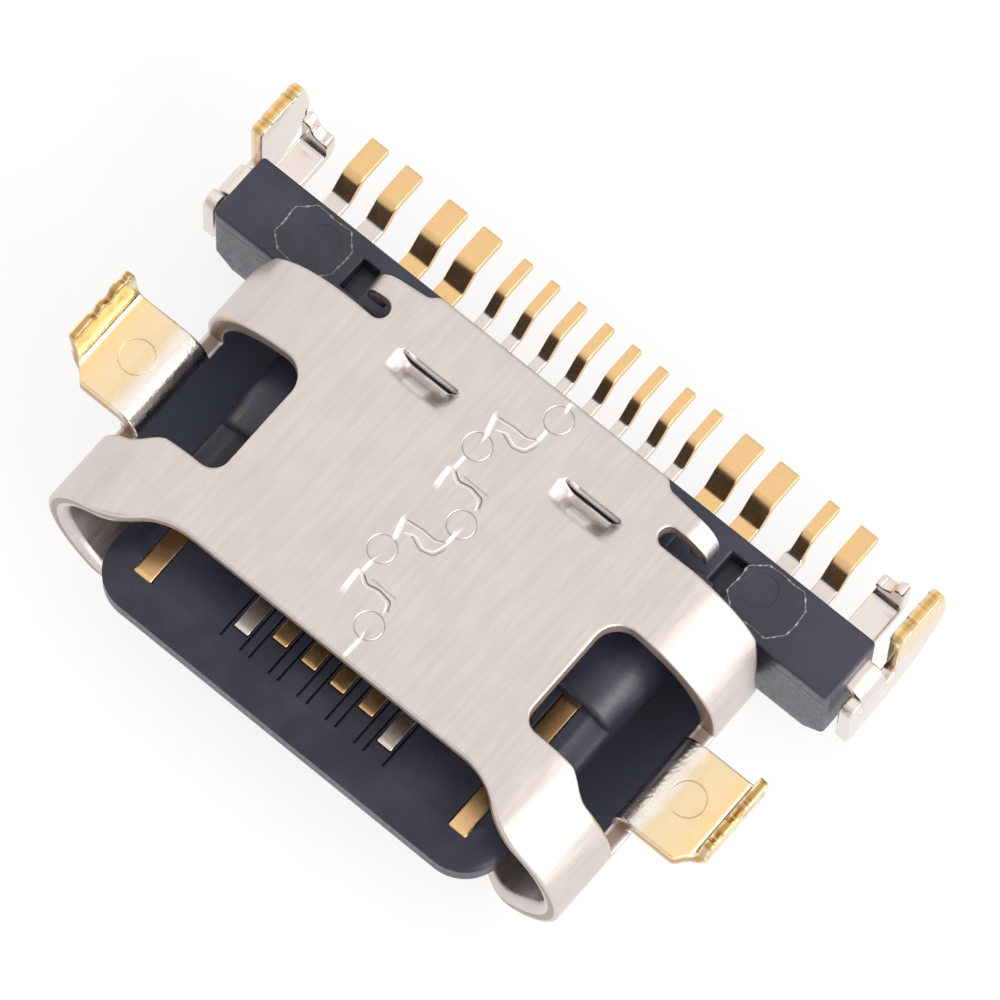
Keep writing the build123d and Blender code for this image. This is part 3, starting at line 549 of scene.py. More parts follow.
def window(value, low, high, soft):
    """Return 1 between two limits, falling smoothly to 0 outside them."""
    return smooth((value - low) / soft + 0.5) * smooth((high - value) / soft + 0.5)


def lance_shine(x, y):
    """Return the painted highlights and the painted shade on the facets of the pressed lances."""
    across, along = lance_place(x, y)
    bright = window(across, -0.02, 0.15, 0.05) * window(along, 0.25, 1.0, 0.2)
    bright += window(across, 0.30, 0.66, 0.08) * window(along, 0.12, 0.60, 0.12)
    bright += window(across, 0.45, 1.0, 0.1) * window(along, 0.93, 1.02, 0.08) * 0.8
    dark = window(across, 0.64, 0.88, 0.08) * window(along, 0.10, 0.80, 0.15) * 0.45
    dark += window(across, 0.20, 0.62, 0.1) * window(along, 0.56, 0.92, 0.12) * 0.3
    return np.clip(bright, 0, 1) - np.clip(dark, 0, 1)


def seam_relief(x, y):
    """Return the pressed joint's depth and painted shine at each point of the top, rings too."""
    depth, shine = np.zeros_like(x), np.zeros_like(x)
    for path, width, deep, glint in SEAM_GROOVES:
        run = np.diff(path, axis=0)
        gap = np.stack([x, y], 1)[:, None] - path[:-1]
        gap = gap - run * np.clip((gap * run).sum(-1) / (run ** 2).sum(-1), 0, 1)[..., None]
        nearest = np.argmin((gap ** 2).sum(-1), 1)
        run, gap = run[nearest], gap[np.arange(len(x)), nearest]
        offset = -np.sign(np.cross(run, gap)) * np.hypot(*gap.T)
        within = np.abs(offset) <= width / 2 + 1e-4
        depth = np.maximum(depth, np.where(within, deep * (offset / width + 0.5), 0))
        shine = np.where(within & (np.abs(glint) > np.abs(shine)), glint, shine)
    for centre in SEAM_MARKS:
        away = np.hypot(x - centre[0], y - centre[1])
        ring = np.clip(1 - np.abs(away - MARK_RADIUS) / MARK_LINE, 0, 1)
        depth = np.maximum(depth, 0.010 * ring)
        # each ring's line is a thin painted shade
        shine = np.where(shine == 0, -0.36 * ring, shine)
    return depth, shine


def ear_start(s):
    """Return the length s at which an ear's bend starts: the right ear is the wider one."""
    return np.where(s > 0, 2.65, 2.48)


def seam_shine(s, y, depth):
    """Return the painted shine of the flat sheet: painted highlights and painted shade on its joint, lances,
    slit walls and ears.
    """
    shine, a = np.zeros_like(s), np.abs(s)
    on_top = (depth < 1e-6) & (a < SEAM_HALF)
    shine[on_top] = seam_relief(s[on_top], y[on_top])[1]
    skin = depth < 0.02
    pressed = skin & (a > LANCE_X[0] - 0.05) & (a < LANCE_X[1] + 0.05)
    pressed &= (y > LANCE_Y[0]) & (y < LANCE_Y[1] + 0.01)
    shine[pressed] = lance_shine(s[pressed], y[pressed])
    # a painted highlight lies on the wall across each slit
    wall = (depth > 0.02) & (np.abs(y - LANCE_Y[1] - SLIT) < 0.01)
    shine[wall & (a > LANCE_X[0]) & (a < LANCE_X[1])] = 0.9
    # a painted highlight lies on the right ear's bend, and both ears' torn ends are painted darker
    reach = a - ear_start(s)
    ear = (y > SLOT_Y) & skin & (a > 2.3)
    shine[ear & (s > 0)] = 0.9 * window(reach[ear & (s > 0)], 0.02, 0.36, 0.1)
    shine[ear] -= 0.6 * smooth((reach[ear] - 0.42) / 0.1)
    return shine


def fold_shell(s, y, depth):
    """Roll the sheet: flat top, half round sides of one radius, flat bottom, ears bent down."""
    a = np.abs(s)
    x = rolled_x(s, depth)
    z = (HALF_HEIGHT - depth) * np.cos(bend(a, HALF_FLAT, MIDDLE_RADIUS, math.pi)[0])
    start = ear_start(s)
    ear = (y > SLOT_Y) & (a > start)
    turn, rest = bend(a, start, EAR_BEND)
    reach = EAR_BEND + SHEET / 2 - depth
    x = np.where(ear, start + reach * np.sin(turn), x)
    z = np.where(ear, HALF_HEIGHT - SHEET / 2 - EAR_BEND + reach * np.cos(turn) - rest, z)
    z = z - np.where(ear, 0, lance_drop(x, y) * np.sign(z))
    on_top = (depth < 1e-6) & (a < SEAM_HALF)
    z[on_top] -= seam_relief(s[on_top], y[on_top])[0]
    return np.stack([np.sign(s) * x, y, z], 1)


def shell_outline():
    """Return the flat sheet's outline, counter-clockwise, and where its edge is free."""
    front = np.linspace(-BOTTOM, BOTTOM, 2 * int(BOTTOM / SPACING) + 1)
    rim = np.stack([front, rim_y(front)], 1)
    side_low, side_high = length_at_height(-0.35), length_at_height(0.35)
    wide_low, wide_high = length_at_height(-0.9), length_at_height(0.9)
    side_y, flap_y, neck, slot = 3.75, 4.81, 2.52, 0.15
    slot_turn, slot_rear = slot - 0.001, REAR_Y + 2 * slot

    def half(sign):
        tip = float(ear_start(sign)) + EAR_BEND * math.pi / 2 + EAR_REACH
        rows = [(BOTTOM, REAR_Y, 0), (wide_low, REAR_Y, 0.08), (side_low, side_y, 0.08),
                (side_high, side_y, 0.08), (wide_high, REAR_Y, 0.08), (neck - slot, REAR_Y, slot_turn),
                (neck - slot, slot_rear, slot_turn), (tip, slot_rear, 0.05), (tip, 4.60, 0.05),
                (2.10, 4.70, 0.16), (1.98, flap_y, 0.12), (0, flap_y, 0)]
        return [(sign * u, v, r) for u, v, r in rows]

    rear = rounded_path(half(1) + half(-1)[-2::-1], SPACING, closed=False)
    outline = divide(np.concatenate([rim, rear]), SPACING)
    # the two ends of the sheet meet under the connector, where only their corners are free
    s, y = outline.T
    joint = np.abs(s) > BOTTOM - 1e-6
    joint &= (y > y[joint].min() + 1e-6) & (y < y[joint].max() - 1e-6)
    return outline, np.where(joint, 0.0, 1.0)


def window_outline():
    """Return the right window's outline in the flat sheet, clockwise, and where its edge is free."""
    inner, relief = 2.65, HINGE + 0.12
    front, rear, side_front = *WINDOW_Y, 0.70
    rows = [(inner, front, 0.25), (inner, rear, 0.38), (relief, rear, 0.03), (relief, TAB_Y[1], 0),
            (HINGE, TAB_Y[1], 0), (HINGE, TAB_Y[0], 0), (relief, TAB_Y[0], 0), (relief, side_front, 0.03)]
    # the front edge steps back from x = 4 at the side to x = 3.5 at the window's corner
    rows += [(HALF_FLAT + MIDDLE_RADIUS * math.asin((4 - 0.5 * t - HALF_FLAT) / HALF_HEIGHT),
              side_front + (front - side_front) * smooth(t), 0) for t in np.linspace(0, 1, 13)]
    path = rounded_path(rows, SPACING)
    s, y = path.T
    root = (s < relief - 0.001) & (s > HINGE - 0.001) & (y > TAB_Y[0] - 0.001) & (y < TAB_Y[1] + 0.001)
    return path, np.where(root, 0.0, 1.0)


def lance_slit(s_low, s_high):
    """Return the cut behind a right lance, clockwise, its edges a little rounded."""
    near, far = LANCE_Y[1], LANCE_Y[1] + SLIT
    path = divide(np.array([(s_low, near), (s_low, far), (s_high, far), (s_high, near)]), 0.035)
    return path, np.full(len(path), 0.4)


def seam_grooves():
    """Return the joint as (path, width, depth, shine) rows: two dovetails and both end runs. Their shine is
    painted highlight above 0 and painted shade below it.
    """
    wedge = (0.055, 0.020, 1.0)
    rows = [([(0.285, 0.10, 0), (0.300, 0.44, 0)], *wedge), ([(0.325, 4.69, 0), (0.315, 4.80, 0)], *wedge)]
    for turn_y in (1.05, 2.94):
        shaped = (
            # across the first turn: a painted bright lip, its painted shadow, and a faint painted line
            # behind
            (((0.30, -0.13, 0), (0.25, -0.01, 0.08), (0.05, 0.03, 0.2), (-0.14, -0.02, 0.12),
              (-0.28, 0.09, 0)), 0.026, 0.012, 0.7),
            (((0.33, -0.10, 0), (0.28, 0.03, 0.08), (0.05, 0.065, 0.2), (-0.12, 0.02, 0.12),
              (-0.24, 0.10, 0)), 0.020, 0.008, -0.6),
            (((0.29, 0.11, 0), (0.11, 0.11, 0.1), (-0.10, 0.12, 0)), 0.018, 0.004, -0.35),
            # the hook's wedge, the run to the next mark, and the wedge after it, all painted bright as
            # highlights
            (((-0.325, -0.13, 0), (-0.340, 0.09, 0)), 0.080, 0.020, 0.9),
            (((-0.290, 0.15, 0), (-0.285, 0.32, 0)), *wedge),
            (((-0.265, 0.77, 0), (-0.345, 1.04, 0)), 0.075, 0.024, 1.0),
            # across the second turn: painted bright lines beside painted dark lines
            (((-0.30, 1.06, 0), (-0.05, 1.09, 0.3), (0.18, 1.08, 0.2), (0.28, 1.14, 0)), 0.018, 0.006, -0.5),
            (((-0.28, 1.03, 0), (-0.05, 1.06, 0.3), (0.17, 1.05, 0.2), (0.27, 1.11, 0)), 0.018, 0.004, 0.5),
            (((-0.20, 0.90, 0), (-0.06, 0.96, 0.1), (0.12, 0.88, 0.1), (0.26, 0.93, 0.1), (0.32, 1.12, 0)),
             0.022, 0.008, 0.65),
            (((-0.10, 0.92, 0), (0.10, 0.84, 0.1), (0.29, 0.89, 0.1), (0.35, 1.05, 0)), 0.018, 0.006, -0.5),
            (((0.316, 1.16, 0), (0.318, 1.31, 0)), *wedge),
        )
        rows += [([(x, turn_y + y, r) for x, y, r in path], *rest) for path, *rest in shaped]
    return [(rounded_path(path, 0.05, closed=False), *rest) for path, *rest in rows]


SEAM_GROOVES = seam_grooves()
SEAM_MARKS = ((0.271, 0.650), (-0.290, 1.582), (0.296, 2.520), (-0.246, 3.500), (0.345, 4.486))


def seam_lines():
    """Return the lines that the filled top needs: both sides of each groove, and the rings."""
    lines = []
    for path, width, *_ in SEAM_GROOVES:
        run = np.gradient(path, axis=0)
        normal = np.stack([run[:, 1], -run[:, 0]], 1) / np.hypot(*run.T)[:, None]
        for offset in (-width / 2 - 0.004, -width / 2, width / 2, width / 2 + 0.004):
            lines.append(path + normal * offset)
    turn = np.linspace(0, 2 * math.pi, 41)
    for centre in SEAM_MARKS:
        for radius in (MARK_RADIUS - MARK_LINE, MARK_RADIUS, MARK_RADIUS + MARK_LINE):
            lines.append(np.stack([np.cos(turn), np.sin(turn)], 1) * radius + centre)
    return lines


def lance_points():
    """Return the extra points that the four pressed lances need."""
    x, y = np.meshgrid(np.linspace(LANCE_X[0] - 0.06, LANCE_X[1] + 0.06, 34), np.linspace(3.48, 3.86, 13))
    blocks = [np.stack([s.ravel(), y.ravel()], 1) for s in (x, BOTTOM - x)]
    return np.concatenate([block * (side, 1) for block in blocks for side in (1, -1)])


def shell_sheet():
    """Return the rolled sheet with its windows and lance cuts."""
    near, far = LANCE_X[0] + 0.05, LANCE_X[1] - 0.05
    holes = [window_outline(), lance_slit(near, far), lance_slit(BOTTOM - far, BOTTOM - near)]
    mirrored = [(path[::-1] * (-1, 1), free[::-1]) for path, free in holes]
    paths, outer = zip(shell_outline(), *holes, *mirrored)
    # inside the mouth the edge is coined to a wider round
    inner = [np.where(paths[0][:, 1] < 0.09, outer[0] * 3.2, outer[0]), *outer[1:]]
    points, faces, cut, shine = plate(paths, outer, inner, 0.04, SHEET, fold_shell, (0.12, 0.22),
                                      seam_lines(), lance_points(), seam_shine)
    # the walls between the sheet's two ends are left out, because the joint there is closed
    joint = (np.abs(points[:, 0]) < 1e-6) & (points[:, 2] < -1)
    return points, [face for face in faces if not joint[face].all()], cut, shine


# Board tabs

TAB_BEND = 0.38
TAB_FLAT = 4.55
CREASE_X = 5.32
CREASE_BEND = 0.08
FLANGE_LEAN = math.radians(83)
FLANGE_RISE = 0.554


def fold_tab(side):
    """Return the fold of one tab: a quarter turn out of the wall, a flat, and the flange up."""
    first = TAB_BEND * math.pi / 2
    second = first + CREASE_X - TAB_FLAT

    def fold(t, y, depth):
        # the flange is hammered to half the sheet's thickness
        depth = depth * (1 - 0.52 * smooth((t - second + 0.05) / 0.22))
        turn, _ = bend(t, 0, TAB_BEND)
        x = TAB_FLAT - (TAB_BEND - depth) * np.cos(turn) + np.clip(t - first, 0, second - first)
        z = (TAB_BEND - depth) * np.sin(turn)
        rise, up = bend(t, second, CREASE_BEND, FLANGE_LEAN)
        x = x + (CREASE_BEND + depth) * np.sin(rise) + up * math.cos(FLANGE_LEAN)
        z = z + (CREASE_BEND + depth) * (1 - np.cos(rise)) + up * math.sin(FLANGE_LEAN)
        return np.stack([side * x, y, z], 1)
    return fold


def tab_sheet(side, notches):
    """Return one board tab, its flange's top edge nicked and a little ragged."""
    top = TAB_BEND * math.pi / 2 + CREASE_X - TAB_FLAT + CREASE_BEND * FLANGE_LEAN + FLANGE_RISE
    rows = [(0, TAB_Y[0], 0), (1.24, TAB_Y[0], 0.10), (1.44, 1.33, 0.08), (top - 0.02, 1.33, 0.05)]
    for notch_y, width, deep in notches:
        rows += [(top, notch_y - width, 0.03), (top - deep, notch_y, 0.04), (top, notch_y + width, 0.03)]
    rows += [(top, TAB_Y[1], 0.09), (0, TAB_Y[1], 0)]
    path = rounded_path(rows, 0.06)
    free = np.where(path[:, 0] < 1e-6, 0.0, 1.0)
    return plate([path], [free], [free], 0.03, SHEET, fold_tab(side), (0.05, 0.12))


RIGHT_NOTCHES = ((1.52, 0.10, 0.13), (1.92, 0.14, 0.20), (2.17, 0.05, 0.05))
LEFT_NOTCHES = ((1.80, 0.10, 0.11), (2.08, 0.12, 0.13), (2.40, 0.05, 0.06))
shell_parts = [(*shell_sheet(), 0), (*tab_sheet(1, RIGHT_NOTCHES), 1), (*tab_sheet(-1, LEFT_NOTCHES), 1)]
add_piece("shell_sheet", shell_parts, [shell_finish, tab_finish], ["shell"])


# Contacts

STRIP = 0.15
BLADE_Z = 0.275
TAIL_Z = -0.035
FOOT_Z = 0.305
JOG_Y = (3.00, 4.45)
EDGE_ROUND = 0.022
FRONT_X = (-2.75, -1.25, -0.75, -0.25, 0.25, 0.75, 1.25, 2.75)
UPPER_TAILS = (-3.69, -2.30, -1.67, -0.714, 0.238, 1.19, 2.30, 3.69)
LOWER_TAILS = (-4.30, -2.91, -1.19, -0.238, 0.714, 1.67, 2.91, 4.30)


def strip(corners, middle_x, half_width):
    """Return a bar: an oblong with round corners, carried along a bent line in (y, z).

    Each corner of the oblong is (w - r + r cos a, h - r + r sin a) with two more points on
    the flats beside it. w and h shrink over the last r at both ends as a quarter round does.
    """
    line = rounded_path(corners, 0.09, closed=False, step=0.02)
    for _ in range(2):
        run = line[1] - line[0]
        closer = line[0] + run / np.hypot(*run) * np.array([[0.004], [0.012], [EDGE_ROUND]])
        line = np.concatenate([line[:1], closer, line[1:]])[::-1]
    run = np.gradient(line, axis=0)
    run = run / np.hypot(*run.T)[:, None]
    length = np.concatenate([[0], np.cumsum(np.hypot(*np.diff(line, axis=0).T))])
    near = np.minimum(length, length[-1] - length)
    shrink = EDGE_ROUND - np.sqrt(EDGE_ROUND ** 2 - (EDGE_ROUND - np.minimum(near, EDGE_ROUND)) ** 2)
    w = (np.interp(line[:, 0], *half_width) - shrink)[:, None]
    h = (STRIP / 2 - shrink * 0.8)[:, None]
    r = EDGE_ROUND
    a = np.linspace(0, math.pi / 2, 4)
    across = w + np.concatenate([[r], r * np.cos(a), [-RIM]]) - r
    along = h + np.concatenate([[-RIM], r * np.sin(a), [r]]) - r
    side = np.concatenate([across, -across[:, ::-1], -across, across[:, ::-1]], 1)
    up = np.concatenate([along, along[:, ::-1], -along, -along[:, ::-1]], 1)
    x = np.interp(line[:, 0], *middle_x)[:, None] + side
    y = line[:, :1] - up * run[:, 1:]
    z = line[:, 1:] + up * run[:, :1]
    points = np.stack([x, y, z], -1).reshape(-1, 3)
    index = np.arange(side.size).reshape(side.shape)
    quads = net_faces(index)[:, [0, 3, 2, 1]].tolist()
    plain = np.zeros(len(points))
    return points, quads + [index[0, ::-1].tolist(), index[-1].tolist()], plain, plain


def blade_front(front_x):
    """Return where a contact starts on the tongue, its width there, and its tail's width."""
    if abs(front_x) > 2:
        return -0.479, 0.30, 0.31
    return (-0.206, 0.25, 0.35) if abs(front_x) > 1 else (0.0, 0.25, 0.17)


def contact(front_x, tail_x, side):
    """Return one contact: blade in the tongue, step to the tail's level, foot bent up."""
    front_y, blade, tail_width = blade_front(front_x)
    foot_width = tail_width
    # the last tail of the upper row is slimmer, and its foot slimmer still
    if side > 0 and tail_x == UPPER_TAILS[-1]:
        tail_width, foot_width = 0.28, 0.20
    corners = [(front_y, side * BLADE_Z, 0), (4.45, side * BLADE_Z, 0.1), (4.80, TAIL_Z, 0.1),
               (5.50, TAIL_Z, 0.17), (5.76, FOOT_Z, 0.17), (6.32, FOOT_Z, 0)]
    widths = ([JOG_Y[0], JOG_Y[1], 5.50, 5.56], [blade / 2, tail_width / 2, tail_width / 2, foot_width / 2])
    return strip(corners, (JOG_Y, (front_x, tail_x)), widths)


for row_name, tails, side in (("upper_contact", UPPER_TAILS, 1), ("lower_contact", LOWER_TAILS, -1)):
    for number, (front_x, tail_x) in enumerate(zip(FRONT_X, tails), start=1):
        finish = power_finish if number in (2, 7) else fine_finish
        node_name = f"{row_name}_{number}"
        contact_part = (*contact(front_x, tail_x, side), 0)
        add_piece("formed_" + node_name, [contact_part], [finish], [node_name])


# Mid plate: its blade lies in the tongue, its ends show beside the rear block

PLATE = 0.20
FLAP_X = 5.70
FLAP_TURN = 5.40
FLAP_BEND = 0.20
PIN_TURN = 5.70
PIN_BEND = 0.18


def fold_flap(side):
    """Return the fold of an end: a quarter turn down between two cuts, an upright wing elsewhere."""
    def fold(u, y, depth):
        bent = ((y > 4.48) | (u < 5.0)) & (y < 5.11)
        turn, rest = bend(u, FLAP_TURN, FLAP_BEND)
        reach = FLAP_X - FLAP_TURN - depth
        x = np.where(bent, np.minimum(u, FLAP_TURN) + reach * np.sin(turn), FLAP_X - depth)
        drop = np.where(bent, rest - reach * np.cos(turn), u - FLAP_TURN - FLAP_BEND * math.pi / 2)
        return np.stack([side * x, y, -0.20 - drop], 1)
    return fold


def fold_pin(side):
    """Return the fold of a pin: along the board, then a quarter turn up."""
    def fold(x, v, depth):
        turn, rest = bend(v, PIN_TURN, PIN_BEND)
        reach = PIN_BEND - PLATE / 2 + depth
        y = np.minimum(v, PIN_TURN) + reach * np.sin(turn)
        z = PIN_BEND - reach * np.cos(turn) + rest
        return np.stack([side * x, y, z], 1)
    return fold


def sheet_part(rows, fold, rounding=0.03, grid=(0.08, 0.1)):
    """Return a filled sheet of the plate's thickness with all its edges free."""
    return moulded([rows], fold, PLATE, rounding, 0, grid=grid, spacing=0.07)


def wing_rows(nicks):
    """Return an end's flat outline; nicks are the torn places along the wing's top edge."""
    rows = [(4.66, 4.22, 0), (4.76, 4.22, 0), (4.76, 4.50, 0), (5.914, 4.50, 0), (5.914, 4.465, 0),
            (5.454, 4.465, 0.03), (5.454, 4.30, 0.08), (5.574, 4.20, 0.06), (6.634, 4.20, 0.10),
            (6.634, 4.93, 0.15), (6.454, 5.63, 0.30), (5.854, 6.18, 0.30), (5.404, 6.26, 0.20),
            (4.80, 6.16, 0.10), (4.71, 6.06, 0.04)]
    for y, deep in nicks:
        rows += [(4.70, y + 0.05, 0.01), (4.70 + deep, y + 0.01, 0.015), (4.72, y - 0.06, 0.02)]
    return rows + [(4.714, 5.30, 0.05), (4.80, 5.22, 0.08), (5.914, 5.22, 0.06), (5.914, 5.0, 0.03),
                   (4.66, 5.0, 0)]


RIGHT_NICKS = ((6.00, 0.04), (5.80, 0.03), (5.55, 0.05), (5.40, 0.02))
LEFT_NICKS = ((5.95, 0.05), (5.84, 0.03), (5.62, 0.02), (5.42, 0.05))
PIN_ROWS = ((4.81, 5.0, 0), (5.27, 5.0, 0), (5.27, 6.50, 0.05), (5.22, 6.58, 0.04), (5.12, 6.48, 0.05),
            (5.07, 6.30, 0.10), (4.93, 6.22, 0.05), (4.86, 6.26, 0.04), (4.81, 6.16, 0.04))
BLADE_HALF = [(3.00, -0.40, 0.05), (3.00, 3.55, 0), (3.85, 3.55, 0), (3.85, 4.22, 0), (4.66, 4.22, 0),
              (4.66, 4.30, 0)]
blade_rows = [(0, -0.40, 0)] + BLADE_HALF + [(-x, y, r) for x, y, r in BLADE_HALF[::-1]]
plate_parts = [sheet_part(blade_rows, lay(PLATE / 2), 0.02, (0.4, 0.4))]
for side, nicks in ((1, RIGHT_NICKS), (-1, LEFT_NICKS)):
    plate_parts += [sheet_part(wing_rows(nicks), fold_flap(side)), sheet_part(PIN_ROWS, fold_pin(side))]
add_piece("folded_mid_plate", plate_parts, [plate_finish], ["mid_plate"])


# Housing: tongue, collar, plug and rear block in one moulding

BLOCK_Y = (4.07, 5.13)
BLOCK_TOP = 0.477
POCKET_FLOOR = 0.18
TONGUE = 0.70
TONGUE_LENGTH = 2.95
TONGUE_ROOT = 2.0
NOSE_HALF = 3.41
# the faces are narrower and shorter than the nose band, and slope over this depth
TAPER_X, TAPER_Y, TAPER_DEPTH = 0.31, 0.45, 0.20


def stand(front):
    """Return the fold of an upright profile in x and z: depth runs back from its front."""
    return lambda x, z, depth: np.stack([x, front + depth, z], 1)


def block_fold(x, y, depth):
    """Lay the block's lower part and draw its two ends in at 45 degrees near the bottom."""
    inward = np.clip((np.abs(x) - 4.0) / 1.3, 0, 1) * np.maximum(depth - 1.18, 0)
    return np.stack([np.sign(x) * (np.abs(x) - inward), y, POCKET_FLOOR - depth], 1)


def tongue_recesses():
    """Return (x, half width, front y, rear y, depth) of each contact's seat and relief groove."""
    rows = []
    for front_x in FRONT_X:
        front_y, blade, _ = blade_front(front_x)
        rows.append((front_x, blade / 2 + 0.010, front_y - 0.012, 1.95, 0.03))
        if abs(front_x) < 2:
            rows += [(front_x + beside, 0.018, -0.42, 0.45, 0.06) for beside in (-0.17, 0.17)]
    return rows


def fold_tongue(x, y, depth):
    """Taper the nose: with t = 1 at a face and 0 at 0.2 mm from it, x shrinks and y moves back by t."""
    near = np.minimum(depth, TONGUE - depth)
    t = 1 - smooth(near / TAPER_DEPTH)
    x = x * (1 - t * TAPER_X / NOSE_HALF)
    y = y + t * TAPER_Y * (TONGUE_ROOT - y) / TONGUE_LENGTH
    sink = np.zeros_like(x)
    for middle, half, front, rear, deep in tongue_recesses():
        seat = (np.abs(x - middle) < half - 0.003) & (y > front + 0.003) & (y < rear - 0.003)
        sink[seat & (near < 0.001)] = deep
    z = TONGUE / 2 - depth
    return np.stack([x, y, z - np.sign(z) * sink], 1)


def recess_lines():
    """Return both rims of every recess in the tongue's flat terms, before it is tapered."""
    lines = []
    for middle, half, front, rear, _ in tongue_recesses():
        for inset in (0, 0.006):
            rows = oblong(half - inset, front + inset, rear - inset, 0, middle)
            x, y, _ = np.array(rows + rows[:1]).T
            x = x / (1 - TAPER_X / NOSE_HALF)
            y = (y - TAPER_Y * TONGUE_ROOT / TONGUE_LENGTH) / (1 - TAPER_Y / TONGUE_LENGTH)
            lines.append(divide(np.stack([x, y], 1), 0.2, False))
    return lines


def oblong(half_x, low, high, last, middle=0):
    """Return the corners of an oblong, counter-clockwise, each as (x, y, last)."""
    left, right = middle - half_x, middle + half_x
    return [(left, low, last), (right, low, last), (right, high, last), (left, high, last)]


def tongue_part():
    """Return the tongue: one nose band, tapered to both faces, with the contacts' seats."""
    rows = oblong(NOSE_HALF, TONGUE_ROOT - TONGUE_LENGTH, TONGUE_ROOT, 0)
    path = rounded_path([(x, y, 0.65 if y < 0 else 0) for x, y, _ in rows], 0.10)
    free = np.ones(len(path))
    lines = recess_lines()
    bands = (0.08, 0.11, 0.14, 0.17, 0.20, 0.24)
    return (*plate([path], [free], [free], 0.05, TONGUE, fold_tongue, (0.30, 0.30), lines, under=lines,
                   walls=(bands, bands)), 1)


block = oblong(5.38, *BLOCK_Y, 0.07)
pockets = [oblong(0.15, 4.20, 4.87, 0.02, middle) for middle in (-3.23, 3.23)]
# a hole's outline runs the other way round
pockets = [rows[:1] + rows[:0:-1] for rows in pockets]
housing_parts = [
    moulded([block] + pockets, lay(BLOCK_TOP), BLOCK_TOP - POCKET_FLOOR, 0.035, 0, (1, 0)),
    moulded([block], block_fold, POCKET_FLOOR + 1.30, 0.05, 0, (0, 1), ((), (0.27, 0.30, 0.33))),
    moulded([oblong(2.35, 4.07, 4.72, 0.03)], lay(1.27), 0.85, 0.03, 0),
    moulded([oblong(3.30, 4.07, 4.18, 0.03)], lay(1.12), 0.70, 0.03, 0),
    moulded([oblong(4.15, -1.26, 1.26, 1.255)], stand(3.45), 0.64, 0.03, 1),
    moulded([oblong(3.45, -0.62, 0.62, 0.60)], stand(1.90), 1.60, 0.09, 0, grid=(0.4, 0.4)),
    tongue_part(),
]
add_piece("housing_moulding", housing_parts, [housing_finish, tongue_finish], ["housing"])


# Flash round the two pads

PAD_Y = 4.63
PAD_HALF_X, PAD_HALF_Y, PAD_CORNER = 0.50, 0.42, 0.20
FLASH = 0.018


def bead(middle_x, seed):
    """Return torn moulding flash: a low half round along an octagon, its size wandering.

    The size is 0.4 plus 0.6 of twice the square, held at 1, of the mean of three sines of
    the length round it.
    """
    wide, high = PAD_HALF_X - PAD_CORNER, PAD_HALF_Y - PAD_CORNER
    rows = [(wide, PAD_HALF_Y), (-wide, PAD_HALF_Y), (-PAD_HALF_X, high), (-PAD_HALF_X, -high),
            (-wide, -PAD_HALF_Y), (wide, -PAD_HALF_Y), (PAD_HALF_X, -high), (PAD_HALF_X, high)]
    path = rounded_path([(x, y, 0.03) for x, y in rows], 0.02)
    count = len(path)
    t = np.linspace(0, 2 * math.pi, count, endpoint=False)
    wander = (np.sin(5 * t + seed) + np.sin(13 * t + 2 * seed) + np.sin(29 * t + 3 * seed)) / 3
    size = (0.4 + 0.6 * np.minimum(1, 2 * wander ** 2))[:, None]
    turn = np.linspace(0, math.pi, 6)
    out = outward(path, np.ones(count))
    offset = FLASH * size * np.cos(turn) + 0.008 * np.sin(7 * t + seed)[:, None]
    x = middle_x + path[:, :1] + out[:, :1] * offset
    y = PAD_Y + path[:, 1:] + out[:, 1:] * offset
    z = BLOCK_TOP + 0.001 + FLASH * size * np.sin(turn)
    points = np.stack([x, y, z], -1).reshape(-1, 3)
    index = np.arange(x.size).reshape(x.shape)
    plain = np.zeros(len(points))
    return points, net_faces(np.concatenate([index, index[:1]])).tolist(), plain, plain, 0


flash_finish = moulded_plastic("torn_moulding_flash", "84868C", "A2A3A8", 0.5)
add_piece("pad_flash", [bead(-4.06, 1.0), bead(3.88, 2.3)], [flash_finish])


# Floor, light and camera


def build_floor():
    """A pale sheet under the connector: white to the eye, still holding a faint shadow."""
    mesh = bpy.data.meshes.new("floor")
    mesh.from_pydata(oblong(0.6, -0.6, 0.6, -0.01 * MM), [], [(0, 1, 2, 3)])
    material, shader, spot = new_material("white_paper", 0.9)
    feed(shader, {"Base Color": overlay(colour("F4F4F4"), "FAFAFA", noise(spot, 2.0))})
    # most of the white is a glow, so that the paper stays white beside the metal's shadows
    glow = add_node(shader, "Emission", {"Color": (1, 1, 1, 1), "Strength": 1.0})
    rays = add_node(shader, "LightPath", {}).outputs
    seen = math_node("MAXIMUM", rays["Is Camera Ray"], rays["Is Glossy Ray"])
    share = times(math_node("MAXIMUM", seen, rays["Is Transmission Ray"]), 0.8)
    mixed = add_node(shader, "MixShader", {0: share, 1: shader.outputs[0], 2: glow.outputs[0]})
    feed(material.node_tree.nodes["Material Output"], {"Surface": mixed.outputs[0]})
    mesh.materials.append(material)
    add_object("floor", mesh)


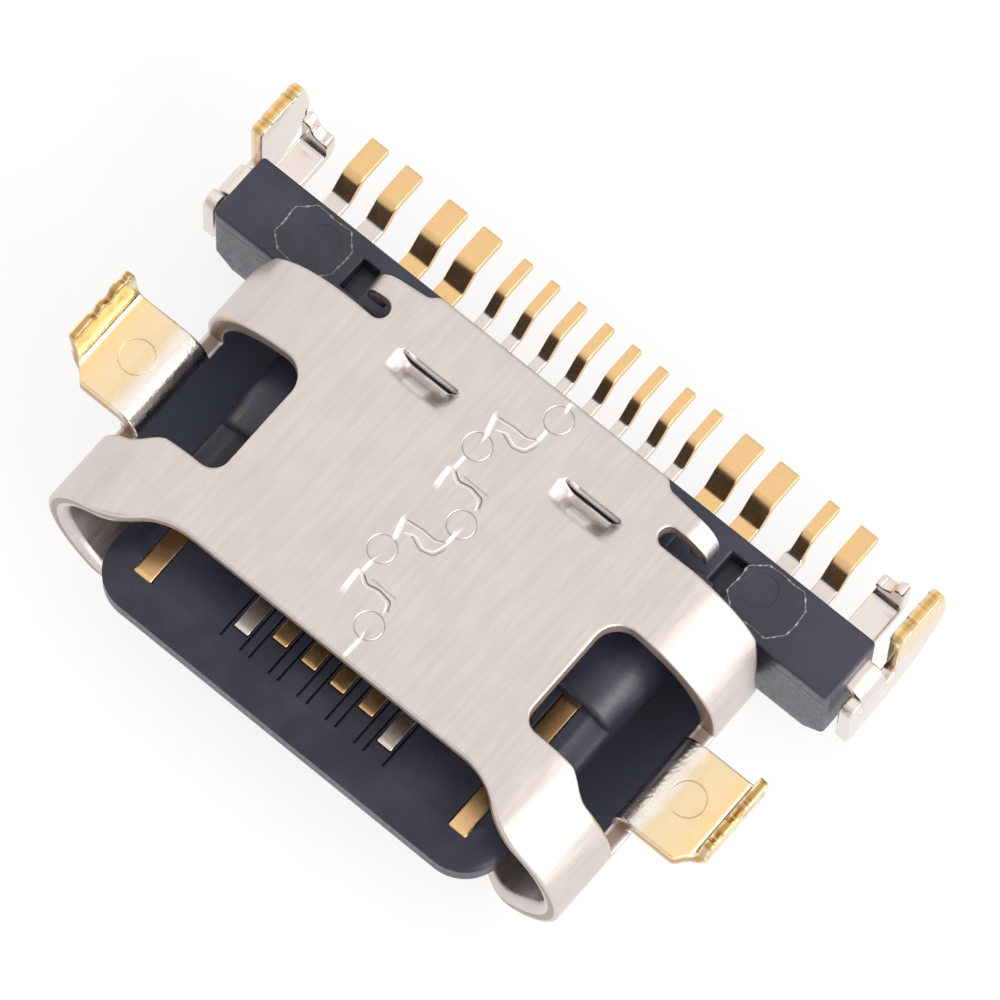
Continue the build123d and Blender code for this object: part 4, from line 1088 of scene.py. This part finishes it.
def build_world():
    """A soft studio all round: bright overhead and to the right, duller to the left and low."""
    world = bpy.data.worlds.new("studio")
    world.use_nodes = True
    background = world.node_tree.nodes["Background"]
    parts = axes(add_node(background, "TexCoord", {}).outputs["Generated"])
    overhead = ramp(parts["Z"], -0.1, 0.9, 0.60, 0.90)
    right = ramp(parts["X"], 0.25, 0.80, 0.0, 1.15)
    left = ramp(parts["X"], -0.9, -0.3, 0.35, 0.0)
    level = math_node("ADD", math_node("ADD", overhead, right), left)
    feed(background, {"Color": colour("FFFCF8"), "Strength": level})
    bpy.context.scene.world = world


def add_lamp(name, spot, size, watts, code):
    """A square soft box that looks at the middle of the connector."""
    data = bpy.data.lights.new(name, "AREA")
    data.size = size
    data.energy = watts
    data.color = colour(code)[:3]
    lamp = add_object(name, data)
    lamp.location = place(0, 2.5, 0) + Vector(spot)
    lamp.rotation_euler = Vector(spot).to_track_quat("Z", "Y").to_euler()


def build_camera():
    """The photograph's view: from above the mouth's right side, with a long lens."""
    azimuth, elevation, roll = math.radians(36.64), math.radians(71.23), math.radians(3.47)
    distance = 126.45
    flat = math.cos(elevation)
    back = Vector((math.sin(azimuth) * flat, -math.cos(azimuth) * flat, math.sin(elevation)))
    side = Vector((math.cos(azimuth), math.sin(azimuth), 0))
    up = back.cross(side)
    right = math.cos(roll) * side + math.sin(roll) * up
    top = -math.sin(roll) * side + math.cos(roll) * up
    camera = add_object("camera", bpy.data.cameras.new("camera"))
    spot = place(0.143, 3.547, 0) + back * distance * MM
    camera.matrix_world = Matrix.Translation(spot) @ Matrix((right, top, back)).transposed().to_4x4()
    camera.data.lens = 337.86
    camera.data.sensor_width = 36
    camera.data.clip_start = 0.01
    bpy.context.scene.camera = camera


build_floor()
build_world()
add_lamp("soft_box_above", (-0.02, 0.03, 0.14), 0.10, 0.0065, "FFFFFF")
add_lamp("soft_box_right", (0.125, -0.012, 0.060), 0.095, 0.125, "FFF8F0")
build_camera()
bpy.context.scene.view_settings.view_transform = "Standard"
